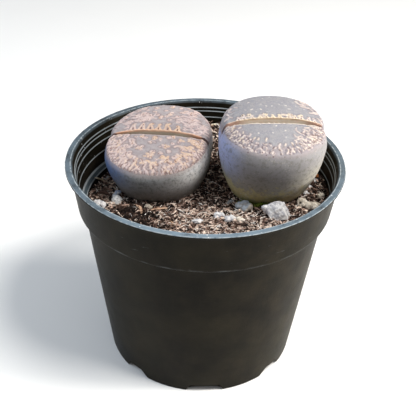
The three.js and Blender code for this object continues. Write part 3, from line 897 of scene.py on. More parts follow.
def scatter_crumbs(name, spots, sizes, tones, random):
    """Many small angular lumps in one mesh: each is a shaken ten-cornered ball."""
    shape = np.array([
        (1, 0, 0), (0, 1, 0), (-1, 0, 0), (0, -1, 0), (0, 0, 1), (0, 0, -1),
        (0.7, 0.7, 0.45), (-0.7, 0.7, -0.45), (-0.7, -0.7, 0.45), (0.7, -0.7, -0.45),
    ])
    shape_faces = [
        (6, 4, 0), (6, 1, 4), (6, 0, 1), (8, 4, 2), (8, 3, 4), (8, 2, 3), (4, 1, 2), (4, 3, 0),
        (7, 2, 1), (7, 5, 2), (7, 1, 5), (9, 0, 3), (9, 5, 0), (9, 3, 5), (5, 1, 0), (5, 3, 2),
    ]
    count = len(spots)
    shaken = shape * (1 + 0.35 * (random.random((count, len(shape), 1)) * 2 - 1))
    shaken = shaken + 0.18 * (random.random((count, len(shape), 3)) * 2 - 1)
    yaw = random.random(count) * 2 * math.pi
    turns = turn_matrices(yaw, random.random(count) * 6, random.random(count) * 6)
    piece = scattered(name, shaken * sizes[:, None, :] / 2, turns, spots, shape_faces, smooth=False)
    keep(piece, "tone", np.repeat(tones, len(shape)))
    return piece


def mound(spots, middle, reach):
    """1 at the middle, fading out over a reach along X and one along Y."""
    away = (spots[:, :2] - middle) / reach
    return np.exp(-(away ** 2).sum(1))


def brightness_of_bed(spots):
    """How pale the soil lies: most at the front, least between the plants and at the front left. The pale
    places are partly dry litter and partly painted light, the dark patch at the front left a painted shadow.
    """
    front = 1.05 * np.exp(-((spots[:, 0] - 5) / 23) ** 4) * smoothstep(-spots[:, 1], 9, 16)
    right = 0.45 * mound(spots, (34, -10), (12, 14))
    left = 0.5 * mound(spots, (-36, 2), (9, 14))
    # Painted shadow: a dark patch on the soil at the front left
    painted_shadow = 1.6 * mound(spots, (-23, -18), (9, 10))
    return np.clip(front + right + left - painted_shadow + 0.12, -1, 1)


def tones_of_bed(spots, random, dull, dry, lift):
    """A tone for each bit: paler where the bed is brighter, which is partly dry litter and partly painted
    light, with some pale flecks all over.
    """
    bright = brightness_of_bed(spots)
    lifted = 1 + np.where(bright < 0, 0.75, lift) * bright
    tones = random.random(len(spots)) ** (dull - dry * bright) * lifted
    flecks = random.random(len(spots)) < 0.05 + 0.05 * (bright < 0.3)
    return np.clip(np.where(flecks, 0.65 + 0.35 * random.random(len(spots)), tones), 0, 1)


def soil_finish(looks):
    finish = Finish("peat bed", Specular_IOR_Level=0.2)
    mix, step, lumps = finish.mix, finish.step, finish.lumps
    place = finish.place()
    coarse = lumps(place, 2.4, 5)
    fine = lumps(place, 0.5, 4)
    bits = finish.cells(place, 0.9, "Color")
    colour = finish.ramp(0.6 * coarse + 0.4 * fine, [
        (0.3, looks.peat_dark), (0.55, looks.peat), (0.75, looks.husk_dark)])
    colour = mix(step(finish.parts(bits)[0], 0.8, 0.95) * 0.6, colour, looks.husk)
    finish.set(Base_Color=colour, Roughness=0.95)
    finish.bump(fine, 0.35)
    return finish


def litter_finish(name, looks):
    """Chips and fibres: each has a tone of its own, with streaks along the grain."""
    finish = Finish(name, Specular_IOR_Level=0.25)
    mix, step, lumps = finish.mix, finish.step, finish.lumps
    place = finish.place()
    tone = finish.kept("tone")
    grain = lumps(place, 0.35, 4)
    stops = [(spot, getattr(looks, key)) for key, spot in LITTER_STOPS[name].items()]
    colour = finish.ramp(tone + 0.22 * (grain - 0.5), stops)
    colour = mix(step(lumps(place, 0.9, 3), 0.62, 0.75) * 0.5, colour, looks.peat_dark)
    finish.set(Base_Color=colour, Roughness=0.9)
    finish.bump(grain, 0.12)
    return finish


# Leaf pairs

def edge_height(pair):
    return pair.crown - pair.face_drop


def face_height(pair, share):
    return pair.crown - FACE_FALL * pair.face_drop * share ** FACE_POWER


def pair_profile(pair):
    """Share of the half width against height, from the crown to the root's tip."""
    face = [(share, face_height(pair, share)) for share in np.linspace(0, FACE_SHARE, 44)]
    widest = edge_height(pair) - pair.shoulder
    roll = [
        (between(FACE_SHARE, 1, math.sin(a)), between(widest, face[-1][1], math.cos(a)))
        for a in np.linspace(0, math.pi / 2, 17)[1:]
    ]
    narrowing = 1 - pair.soil_share
    side = [(1 - narrowing * part ** 2, widest * (1 - part)) for part in np.linspace(0, 1, 40)[1:]]
    root = [(pair.soil_share * share, -pair.root_length * depth) for share, depth in ROOT_PROFILE]
    return face + roll + side + root + [(0.0, -pair.root_length - 0.8)]


def pair_form(pair):
    """The pair's outer form in its own place, before the fissure is cut."""
    form = new_object(pair.node + "_skin", *turned(pair_profile(pair)[::-1], PAIR_SEGMENTS))
    points = points_of(form)
    share = np.hypot(points[:, 0], points[:, 1])
    safe = np.maximum(share, 1e-9)
    cosine, sine = points[:, 0] / safe, points[:, 1] / safe
    along = np.sign(cosine) * np.abs(cosine) ** PLAN_POWER
    across = np.sign(sine) * np.abs(sine) ** PLAN_POWER
    above = smoothstep(points[:, 2], edge_height(pair) - PINCH_FADE, edge_height(pair))
    pinch = 1 - FISSURE_PINCH * np.exp(-(across / PINCH_HALF_WIDTH) ** 2) * above
    reach = np.where(across < 0, pair.near_reach, pair.far_reach)
    slide = pair.far_slide * np.clip(across * share, -1, 1) * above
    points[:, 0] = along * pair.half_width * share * pinch + slide * (share > 0)
    points[:, 1] = across * reach * share
    move_points(form, points)
    return form


def fissure_half_width(pair, x):
    part = np.clip(np.abs(x) / (pair.half_width + FISSURE_OVERRUN), 0, 1)
    return FISSURE_HALF_WIDTH - (FISSURE_HALF_WIDTH - FISSURE_END_HALF_WIDTH) * part ** 2


def fissure_floor(pair):
    return edge_height(pair) - FISSURE_BELOW_EDGE


def fissure_opening(pair, height):
    """How the fissure's width changes with height: it opens toward its top, so that the lips stand apart."""
    part = (height - fissure_floor(pair)) / (pair.crown + FISSURE_OVERRUN - fissure_floor(pair))
    return between(FISSURE_NARROW, 1 + FISSURE_FLARE, part)


def fissure_cutter(pair):
    end = pair.half_width + FISSURE_OVERRUN
    xs = np.linspace(-end, end, 41)
    points = []
    for height in (fissure_floor(pair), pair.crown + FISSURE_OVERRUN):
        half = fissure_opening(pair, height) * fissure_half_width(pair, xs)
        points += list(zip(xs, -half, np.full_like(xs, height)))
        points += list(zip(xs[::-1], half[::-1], np.full_like(xs, height)))
    return new_object("fissure", points, tube(2 * len(xs)), smooth=False)


def pair_place(pair):
    """Rotation and place of a pair in the pot."""
    rotation = Matrix.Identity(3)
    for angle, axis in ((pair.sideways, "Y"), (pair.lean, "X"), (pair.turn, "Z")):
        rotation = rotation @ Matrix.Rotation(math.radians(angle), 3, axis)
    return np.array(rotation), np.array([*pair.foot, PLANT_LEVEL])


def lobe_share(pair, points):
    """How far out a point lies: 1 at the pair's widest outline."""
    reach = np.where(points[:, 1] < 0, pair.near_reach, pair.far_reach)
    along = np.abs(points[:, 0] / pair.half_width) ** OUTLINE_POWER
    across = np.abs(points[:, 1] / reach) ** OUTLINE_POWER
    return (along + across) ** (1 / OUTLINE_POWER)


def skin_reach(pair, points):
    """How far each point lies from the crown, along the skin, in millimetres."""
    shares = np.linspace(0, FACE_SHARE, 60)
    heights = face_height(pair, shares)
    face = np.append(0, np.cumsum(np.hypot(np.diff(shares) * pair.half_width, np.diff(heights))))
    widest = edge_height(pair) - pair.shoulder
    rise = heights[-1] - widest
    run = (1 - FACE_SHARE) * pair.half_width
    turns = np.linspace(0, math.pi / 2, 60)
    bends = np.hypot(np.diff(np.sin(turns)) * run, np.diff(np.cos(turns)) * rise)
    roll = np.append(0, np.cumsum(bends))
    share = lobe_share(pair, points)
    beyond = np.clip(share - FACE_SHARE, 0, None) / (1 - FACE_SHARE)
    turn = np.arctan2(beyond, np.clip((points[:, 2] - widest) / rise, 0, None))
    on_roll = face[-1] + np.interp(turn, turns, roll)
    reach = np.where(share > FACE_SHARE, on_roll, np.interp(share, shares, face))
    return np.where(points[:, 2] < widest, face[-1] + roll[-1] + widest - points[:, 2], reach)


def skin_plan(pair, points):
    """The skin laid flat: each point's place in its own direction, at its reach from the crown."""
    share = np.maximum(lobe_share(pair, points), 1e-6)
    return points[:, :2] / (share * pair.half_width)[:, None] * skin_reach(pair, points)[:, None]


def border_reach(pair, sideways, far):
    """Where a face ends. Sideways runs from -1 at the pair's left end to 1 at its right end."""
    base = np.where(far, pair.far_border, pair.near_border)
    return base + pair.border_flare * np.abs(sideways) ** 6


def ray(angle, length):
    return length * np.array([math.cos(angle), math.sin(angle)])


class Strokes:
    """Strokes on a pair's faces: points along each, with its half width and its tone."""

    def __init__(self, pair, seed, drift=0.0):
        self.pair = pair
        self.random = np.random.default_rng(seed)
        self.points = []
        # How much warmer the strokes are at the pair's right end than in its middle
        self.drift = drift

    def chance(self, low, high):
        return between(low, high, self.random.random())

    def spot(self, angle, depth, far):
        """A point at a depth inside the border: the angle is 0 at the pair's right end and pi at its left."""
        along = math.copysign(abs(math.cos(angle)) ** PLAN_POWER, math.cos(angle))
        across = abs(math.sin(angle)) ** PLAN_POWER
        side = self.pair.far_reach if far else -self.pair.near_reach
        reach = border_reach(self.pair, along, far) - depth
        return np.array([along * reach, across * reach * side / self.pair.half_width])

    def walk(self, start, heading, length, half_width, tone=0.0, wander=0.5, fork=0.0):
        """A wandering stroke that may fork."""
        place = np.array(start, float)
        steps = max(2, int(length / STROKE_STEP))
        tone_here = tone + self.drift * place[0] / self.pair.half_width
        for i in range(steps):
            self.points.append((*place, half_width * (1 - 0.45 * (i / steps) ** 2), tone_here))
            heading += wander * self.chance(-0.55, 0.55)
            place = place + ray(heading, STROKE_STEP)
            if i > steps * 0.3 and self.random.random() < fork * STROKE_STEP:
                side = self.random.choice([-0.8, 0.8])
                self.walk(place, heading + side, length * 0.45, half_width * 0.9, tone, wander)

    def loop(self, centre, radius, half_width, tone=0.0, gap=0.0):
        """A small uneven ring, sometimes open."""
        turn = self.chance(0, 2 * math.pi)
        span = 2 * math.pi * (1 - gap)
        for t in np.linspace(0, span, max(8, int(span * radius / STROKE_STEP))):
            reach = radius * (1 + 0.22 * math.sin(3 * t + turn))
            self.points.append((*(centre + ray(t + turn, reach)), half_width, tone))

    def dash_rows(self, far, depths, spacing, lengths, half_width, tone=0.0, span=(0.02, 0.98), slant=0.4,
                  wander=0.7, fork=0.0):
        """Rows of short strokes that point inward, one row for each depth inside the border."""
        for depth in depths:
            angle = math.pi * span[0] + self.chance(0, 0.08)
            while angle < math.pi * span[1]:
                start = self.spot(angle, depth + self.chance(-0.5, 0.5), far)
                inward = math.atan2(-start[1], -0.75 * start[0]) + self.chance(-slant, slant)
                self.walk(start, inward, self.chance(*lengths), half_width * self.chance(0.6, 1.4),
                          tone + self.chance(-0.3, 0.3), wander, fork)
                angle += spacing * self.chance(0.6, 1.4) / np.hypot(*start)

    def clear(self, left, right, low, high):
        """Takes away what lies in a box of the plan."""
        self.points = [
            point for point in self.points if not (left < point[0] < right and low < point[1] < high)]

    def streaks(self, far, span, depths, count, lengths, half_width, tone, slant):
        """Longer wavy strokes that lie along the pair, near its ends."""
        for _ in range(count):
            start = self.spot(math.pi * self.chance(*span), self.chance(*depths), far)
            heading = self.chance(-slant, slant) + (math.pi if start[0] > 0 else 0)
            length = self.chance(*lengths)
            self.walk(start, heading, length, half_width * self.chance(0.7, 1.3), tone, 0.55, 0.2)

    def spread(self, far, count, depths, clear, lip):
        """Places strewn over a face, each clear of the others and of the fissure."""
        placed = []
        for _ in range(count * 60):
            angle = math.pi * self.random.random()
            spot = self.spot(angle, between(*depths, self.random.random() ** 0.7), far)
            if abs(spot[1]) > lip and all(math.dist(spot, other) > clear for other in placed):
                placed.append(spot)
            if len(placed) == count:
                break
        return placed

    def clump(self, spot, size, tone, specks):
        """Short thick strokes grown together round a spot, with dark specks between them."""
        for _ in range(int(4 + 2.6 * size)):
            turn = self.chance(0, 2 * math.pi)
            start = np.array(spot) + ray(turn, 0.33 * size * self.random.random())
            self.walk(start, turn + self.chance(-0.9, 0.9), size * self.chance(0.1, 0.24),
                      self.chance(0.22, 0.4), tone + self.chance(-0.35, 0.35), 1.0, 0.4)
        for _ in range(int(2.2 * size)):
            turn = self.chance(0, 2 * math.pi)
            place = np.array(spot) + ray(turn, 0.34 * size * self.random.random() ** 0.5)
            specks.walk(place, turn, self.chance(0.2, 0.7), self.chance(0.1, 0.2), 0.0, 1.0)

    def field(self, plan):
        """For each point of the plan: distance outside the nearest stroke, and that stroke's tone."""
        tree = kdtree.KDTree(len(self.points))
        for i, (x, y, _, _) in enumerate(self.points):
            tree.insert((x, y, 0), i)
        tree.balance()
        distance = np.full(len(plan), 9.0)
        tone = np.zeros(len(plan))
        for i, (x, y) in enumerate(plan):
            for _, index, reach in tree.find_n((x, y, 0), 3):
                gap = reach - self.points[index][2]
                if gap < distance[i]:
                    distance[i] = gap
                    tone[i] = self.points[index][3]
        return np.clip(distance, -1, 2), tone


def arches(light, dark, places, tall, spread, half_width, tone):
    """A row of arches that stand along the far side of the fissure, each dark inside."""
    for x in places:
        base = fissure_half_width(light.pair, x) + 0.3
        height = tall * light.chance(0.75, 1.15)
        foot = spread * height
        lean = light.chance(-0.25, 0.25)
        for side in (-1, 1):
            start = np.array([x + side * foot, base])
            top = np.array([x + lean * foot, base + height])
            heading = math.atan2(*(top - start)[::-1])
            half = half_width * light.chance(0.9, 1.15)
            light.walk(start, heading, math.dist(start, top), half, tone(x), 0.15)
        light.clump((x + lean * foot, base + height), 0.35 * height, tone(x), dark)
        dark.walk((x, base + 0.15 * height), math.pi / 2, 0.35 * height, half_width * 0.8, 0.0, 0.2)


def uneven_row(low, high, spacing, random):
    """Places along a line at about the given spacing."""
    places = [low]
    while places[-1] < high:
        places.append(places[-1] + spacing * between(0.75, 1.3, random.random()))
    return places


def left_strokes():
    """Marks over both faces of the left pair, the dark gaps between them and the dark specks in them."""
    light = Strokes(LEFT_PAIR, 3, 0.15)
    dark = Strokes(LEFT_PAIR, 5)
    specks = Strokes(LEFT_PAIR, 21)

    def warmth(x):
        return 0.2 + 0.6 * math.exp(-((x - 2) / 9) ** 2)

    # Along the near face's border: strokes that point inward, with dark gaps between them
    light.dash_rows(NEAR, (0.5,), 1.3, (1.4, 3.4), 0.34, 0.25, slant=0.35, wander=0.6, fork=0.5)
    light.dash_rows(NEAR, (2.4,), 1.8, (1.2, 3.0), 0.36, 0.45, slant=0.5, wander=0.8, fork=0.6)
    light.dash_rows(NEAR, (4.6,), 2.6, (1.2, 2.8), 0.36, 0.55, slant=0.6, wander=0.9, fork=0.7)
    dark.dash_rows(NEAR, (0.5, 1.9), 1.4, (0.7, 2.0), 0.2, slant=0.3, wander=0.7, fork=0.5)
    dark.dash_rows(NEAR, (3.9,), 2.2, (0.6, 1.8), 0.2, slant=0.5, fork=0.5)
    # Its left end is covered in small cells, its right end in warm streaks
    for spot in light.spread(NEAR, 60, (0.6, 10.5), 2.2, 1.6):
        if spot[0] < -7.5:
            light.loop(spot, light.chance(0.65, 1.05), light.chance(0.2, 0.3), light.chance(-0.1, 0.25),
                       light.chance(0, 0.35))
            dark.walk(spot + (0.9, 0.6), dark.chance(0, 6), dark.chance(0.3, 0.9), 0.14)
    light.streaks(NEAR, (0.02, 0.2), (1, 7), 12, (1.5, 3.5), 0.3, 0.7, 0.3)
    for x, y, size in NEAR_CLUMPS:
        light.clump((x, y), size, warmth(x), specks)
    for spot in light.spread(NEAR, 18, (4.5, 17.0), 2.9, 2.2):
        light.clump(spot, light.chance(0.9, 1.9), 0.15, specks)
    # A small bow, open toward the viewer
    for turn in np.linspace(0.15 * math.pi, 0.85 * math.pi, 14):
        light.points.append((9.0 + 1.9 * math.cos(turn), -7.8 + 1.3 * math.sin(turn), 0.3, 0.4))
    for spot in light.spread(NEAR, 12, (7.0, 18.0), 2.2, 1.6):
        light.walk(spot, light.chance(0, 6), light.chance(0.15, 0.8), light.chance(0.0, 0.12), -0.3)
    # The far face: streaks at both ends, clumps over it, arches along the fissure
    light.streaks(FAR, (0.02, 0.3), (0.6, 11), 66, (1.2, 3.8), 0.23, -0.15, 0.25)
    light.streaks(FAR, (0.66, 0.98), (0.6, 12), 76, (1.2, 4.0), 0.23, 0.15, 0.25)
    dark.streaks(FAR, (0.02, 0.3), (0.6, 10), 24, (1.0, 2.5), 0.13, 0.0, 0.25)
    dark.streaks(FAR, (0.7, 0.98), (0.6, 10), 24, (1.0, 2.5), 0.13, 0.0, 0.25)
    for strokes in (light, dark):
        strokes.clear(ARCH_PLACES[0] - 2, ARCH_PLACES[-1] + 2, 0, 6.5)
    for x, y, size in FAR_CLUMPS:
        light.clump((x, y), size, 0.6 * warmth(x), specks)
    for spot in light.spread(FAR, 26, (1.5, 16.0), 2.8, 6.5):
        light.clump(spot, light.chance(0.8, 1.8), 0.2, specks)
    arches(light, specks, ARCH_PLACES, 3.4, 0.3, 0.36, lambda x: 0.1 + warmth(x))
    return light, dark, border_dots(specks, 1.6, (0.0, 1.0), (0.08, 0.17))


def right_strokes():
    """A border of marks round the right pair's clear window, a row along its fissure, and dark dots."""
    light = Strokes(RIGHT_PAIR, 4)
    dark = Strokes(RIGHT_PAIR, 6)
    specks = Strokes(RIGHT_PAIR, 22)

    light.dash_rows(NEAR, (0.7,), 1.3, (0.8, 2.0), 0.17, 0.15, slant=0.8, wander=1.1, fork=0.5)
    light.dash_rows(NEAR, (2.4,), 1.35, (0.9, 2.3), 0.2, 0.3, slant=0.7, wander=1.1, fork=0.7)
    light.dash_rows(NEAR, (4.2,), 1.8, (0.7, 1.8), 0.18, 0.3, slant=0.7, wander=1.0, fork=0.6)
    light.dash_rows(NEAR, (5.6,), 2.2, (0.8, 1.8), 0.2, 0.25, span=(0.6, 0.96), slant=0.8, fork=0.6)
    light.streaks(NEAR, (0.02, 0.28), (0.8, 7.5), 28, (1.2, 3.4), 0.2, 0.3, 0.5)
    dark.dash_rows(NEAR, (0.9, 2.1, 3.3), 1.3, (0.5, 1.5), 0.19, slant=0.8, wander=1.0)
    dark.dash_rows(NEAR, (4.6,), 1.7, (0.5, 1.3), 0.17, span=(0.55, 0.97), slant=0.8, wander=1.0)
    dark.streaks(NEAR, (0.02, 0.28), (0.8, 6.5), 26, (1.0, 2.8), 0.17, 0.0, 0.5)
    for spot in light.spread(NEAR, 8, (7.0, 17.0), 2.4, 1.6):
        light.walk(spot, light.chance(0, 6), light.chance(0.15, 0.6), light.chance(0.05, 0.15), -1.0)
    for x in uneven_row(-8.0, 11.0, 1.6, light.random):
        light.walk((x, -1.35), light.chance(2.6, 3.6), light.chance(0.3, 1.0), 0.16, 0.3)
    arches(light, specks, uneven_row(-12.5, 13.5, 2.3, light.random), 1.6, 0.4, 0.27,
           lambda x: 0.8 * math.exp(-((x - 1) / 9) ** 4))
    for x in RIGHT_CLUMP_PLACES:
        light.clump((x, 2.8), light.chance(1.8, 2.6), 0.5, specks)
    for spot in light.spread(FAR, 26, (1.0, 15.0), 1.8, 4.0):
        light.walk(spot, light.chance(0, 6), light.chance(0.15, 1.0), light.chance(-0.04, 0.1), -1.0, 1.0)
    light.streaks(FAR, (0.02, 0.3), (0.5, 6), 26, (1.0, 3.0), 0.22, 0.2, 0.5)
    light.streaks(FAR, (0.8, 0.98), (0.5, 5), 14, (0.8, 2.0), 0.2, 0.1, 0.6)
    dark.streaks(FAR, (0.02, 0.25), (0.5, 6), 20, (0.8, 2.0), 0.13, 0.0, 0.4)
    dark.streaks(FAR, (0.75, 0.98), (0.5, 6), 12, (0.8, 2.0), 0.13, 0.0, 0.4)
    return light, dark, border_dots(specks, 2.6, (-0.4, 1.2), (0.12, 0.3))


def border_dots(dots, spacing, depths, sizes):
    """Tiny dark dots where the marks end at a face's border."""
    for far in (NEAR, FAR):
        angle = 0.1
        while angle < math.pi - 0.1:
            x, y = dots.spot(angle, dots.chance(*depths), far)
            dots.points.append((x, y, dots.chance(*sizes), 0.0))
            angle += spacing * dots.chance(0.5, 1.5) / dots.pair.near_border
    return dots


def build_pair(pair, light, dark, specks):
    """The pair's fine mesh, with what its skin needs to know kept on its points."""
    piece = pair_form(pair)
    cut(piece, [fissure_cutter(pair)])
    refine(piece, SKIN_VOXEL, 6)
    thin_out(piece, HIDDEN_BELOW, HIDDEN_SHARE)
    points = points_of(piece)
    normals = normals_of(piece)
    share = lobe_share(pair, points)
    far = points[:, 1] > 0
    sideways = np.clip(points[:, 0] / pair.half_width / np.maximum(share, 1e-6), -1, 1)
    inside = border_reach(pair, sideways, far) - skin_reach(pair, points)
    near_front, near_ends, far_back, far_ends = pair.border_depths
    ends = np.abs(sideways) ** 2
    depth = np.where(far, between(far_back, far_ends, ends), between(near_front, near_ends, ends))
    ragged = np.array([fractal(point, 2.6, 3) for point in points])
    cover = smoothstep(depth + 1.6 * ragged - inside, -0.9, 0.9)
    half = fissure_half_width(pair, points[:, 0])
    ceiling = face_height(pair, np.minimum(share, FACE_SHARE))
    in_fissure = np.abs(points[:, 1]) < half * fissure_opening(pair, points[:, 2]) + 0.25
    in_fissure &= points[:, 2] > fissure_floor(pair) - 0.2
    cleft = np.where(in_fissure & (share < 1.03), np.clip(ceiling - points[:, 2], 0, 8), 0)
    lip = np.abs(points[:, 1]) - half * fissure_opening(pair, ceiling)
    top = np.nonzero(inside > -2)[0]
    plan = skin_plan(pair, points)[top]
    mark, gap, dot = (np.full(len(points), 2.0) for _ in range(3))
    tone = np.zeros(len(points))
    mark[top], tone[top] = light.field(plan)
    gap[top] = dark.field(plan)[0]
    dot[top] = specks.field(plan)[0]
    face = smoothstep(inside, 0, 0.8) * (cleft < 0.3)
    lumps = np.array([fractal(point, 9.0, 2) for point in points])
    relief = 0.16 * lumps * (1 - 0.5 * face) + 0.16 * face * (
        smoothstep(-mark, -0.3, 0.2) + 0.5 * cover - smoothstep(-gap, -0.3, 0.1))
    kept = {
        "own_place": points, "share": share, "cleft": cleft, "cover": cover, "inside": inside, "lip": lip,
        "tone": tone, "mark": mark, "gap": gap, "dot": dot,
    }
    for name, values in kept.items():
        keep(piece, name, values)
    rotation, foot = pair_place(pair)
    move_points(piece, (points + normals * (relief - 0.1)[:, None]) @ rotation.T + foot)
    return piece


def leaf_finish(name, pair, looks):
    finish = Finish(name, Subsurface_Weight=0.1, Subsurface_Radius=(0.5, 0.35, 0.25), Subsurface_Scale=0.0015,
                    Specular_IOR_Level=0.35)
    mix, step, lumps = finish.mix, finish.step, finish.lumps
    place = finish.kept("own_place", "Vector")
    x, y, z = finish.parts(place)
    share, cleft, cover, inside, lip, tone = (
        finish.kept(what) for what in ("share", "cleft", "cover", "inside", "lip", "tone"))
    broad = lumps(place, 7, 3)
    cloudy = lumps(place, 1.8, 4)
    fine = lumps(place, 0.45, 3)
    grainy = lumps(place, 0.8, 5, 0.75)
    far = step(y, -0.3, 0.3)
    # The side, from the soil line up: mottled, with light specks, and a band at its foot that is partly
    # soiled and partly painted light and shade
    rise = z / edge_height(pair)
    # The colours by height are partly painted light and shade: lighter just under the face, darker at the
    # left pair's foot, paler and yellower low on the right pair
    side = finish.ramp(rise + 0.25 * (broad - 0.5) + 0.15 * (grainy - 0.5), [
        (0.03, looks.foot), (0.24, looks.low_side), (0.5, looks.side), (0.85, looks.high_side)])
    # Painted shade: the side that faces left is tinted blue grey, as by the shade of the sky
    left_painted_shade = step(x, *(part * pair.half_width for part in pair.painted_shade_span))
    left_painted_shade = left_painted_shade * step(rise + 0.3 * (broad - 0.5), 0.4, 0.85)
    side = mix(left_painted_shade * looks.tint, side, looks.shaded_side)
    # Painted light: the right flank is painted paler where light from the right falls on it
    rightward = step(x / share, *(part * pair.half_width for part in pair.painted_light_span))
    bloom = rightward * step(rise + 0.25 * (broad - 0.5), *pair.painted_light_rise)
    side = mix(bloom * 0.85, side, looks.bloom)
    dim = tuple(0.62 * part for part in looks.side)
    side = mix(step(lumps(place, 1.3, 6, 0.72), 0.52, 0.36) * 0.62, side, dim)
    speckles = step(finish.cells(place, 0.8), 0.3, 0.12)
    speckles = speckles * step(lumps(place, 3, 2), 0.35, 0.65)
    side = mix(speckles * 0.5, side, looks.speckle)
    foot_dirt_and_painted_light = step(rise + 1.1 * (cloudy - 0.5) + 0.6 * (grainy - 0.5), *pair.foot_dirt_and_painted_light_rise)
    side = mix(foot_dirt_and_painted_light * (0.8 - 0.3 * bloom), side, looks.foot)
    green = step(rise + 0.3 * (cloudy - 0.5) + 0.3 * (grainy - 0.5), 0.24, 0.05)
    green = green * step(y, -2, -8)
    side = mix(green * looks.mossiness, side, looks.moss)
    scratched = lumps(finish.stretched(place, 0.5, 0.5, 3.5), 1.1, 3)
    side = mix(step(scratched, 0.68, 0.74) * step(rise, 0.55, 0.2) * 0.5, side, looks.speckle)
    flakes = step(lumps(place, 1.1, 5, 0.7), 0.54, 0.62)
    flakes = flakes * step(rise + 0.3 * (broad - 0.5), 0.55, 0.32)
    side = mix(flakes * 0.6, side, looks.speckle)
    # The face: a clouded window with fine veins, a pale border over it, then the marks and the gaps
    window = mix(step(0.5 * cloudy + 0.5 * grainy, 0.4, 0.6), looks.window, looks.window_light)
    veins = step(abs(lumps(place, 1.6, 4) - 0.5), 0.045, 0.0)
    window = mix(veins * looks.veining, window, looks.vein)
    skin = mix(cover * (0.15 + 0.5 * step(cloudy, 0.3, 0.7)), window, looks.border)
    ragged = 0.28 * (fine - 0.5) + 0.2 * (cloudy - 0.5)
    mark = finish.kept("mark") + ragged - 0.07
    warm_here = step(tone + 0.5 * (grainy - 0.5), 0.1, 0.9)
    mark_colour = mix(warm_here * step(mark, 0.16, -0.06), looks.mark_pale, looks.mark_warm)
    mark_colour = mix(step(cloudy, 0.42, 0.6) * 0.35, mark_colour, looks.border)
    core = step(grainy + 0.4 * (fine - 0.5), 0.46, 0.6) * step(mark, 0.05, -0.2)
    mark_colour = mix(core * 0.85, mark_colour, mix(warm_here, looks.mark_bright, looks.mark_glow))
    speck = step(tone, -0.4, -0.7)
    mark_colour = mix(speck, mark_colour, looks.mark_bright)
    around = (1 - speck) * step(mark, 0.85, 0.25) * step(cloudy, 0.75, 0.35) * looks.halo
    skin = mix(around, skin, looks.gap)
    skin = mix(step(mark, 0.3, 0.0) * 0.35, skin, mark_colour)
    skin = mix(step(mark, 0.1, -0.12) * 0.9, skin, mark_colour)
    gap = step(finish.kept("gap") + ragged, 0.14, -0.1)
    skin = mix(gap * 0.75, skin, mix(step(broad, 0.45, 0.6), looks.gap, looks.gap_warm))
    face_here = step(inside + 1.1 * (cloudy - 0.5) + 0.6 * (fine - 0.5), -0.15, 0.3)
    colour = mix(face_here, side, skin)
    colour = mix(step(inside + 0.5 * cloudy, -1.6, -0.1) * (1 - face_here) * 0.4, colour, looks.border)
    dots = step(finish.kept("dot") + 0.1 * (fine - 0.5), 0.06, -0.08)
    colour = mix(dots * 0.85, colour, looks.dot)
    # The fissure: a pale near lip, a warm far one, a pale inner face in the middle, red toward both ends. The
    # far lip and the inner face are painted paler in part, as painted light
    reach = abs(x) / pair.half_width
    warm = pair.warm_share
    run = step(reach + 0.1 * (cloudy - 0.5), warm + 0.06, warm - 0.04)
    lip_line = step(lip, 0.6, 0.15) * step(inside, 0.3, 1.0)
    near_line = step(lip + 0.3 * (cloudy - 0.5), 0.6, 0.25) * step(inside, -0.5, 0.5) * (1 - far)
    colour = mix(near_line * 0.8, colour, looks.near_lip)
    colour = mix(lip_line * 0.75 * far * run, colour, looks.far_lip)
    ends = step(reach + 0.12 * (cloudy - 0.5), 0.45, 0.8)
    wall = mix(step(cleft + 0.5 * (cloudy - 0.5), 0.5, 1.3), looks.far_lip, looks.cleft_middle)
    wall = mix(ends * 0.85, wall, looks.cleft_end)
    # Past the warm run the crease takes the gaps' dark colour as painted shade
    wall = mix(run, looks.gap, wall)
    on_top = step(inside, -0.8, 1.2)
    colour = mix(step(cleft, 0.1, 0.4) * far * on_top, colour, wall)
    # Painted shade deep inside the fissure and on its near wall
    deep = mix(run, looks.gap, looks.cleft_deep)
    colour = mix(step(cleft, 0.2, 0.9) * (1 - far) * on_top, colour, deep)
    colour = mix(step(cleft, 2.6, 4.2) * (0.3 + 0.6 * on_top), colour, deep)
    finish.set(Base_Color=colour, Roughness=0.52 + 0.12 * cloudy)
    finish.bump(0.35 * fine + 0.4 * cloudy + 0.3 * grainy, 0.12)
    return finish


# Grit and scraps

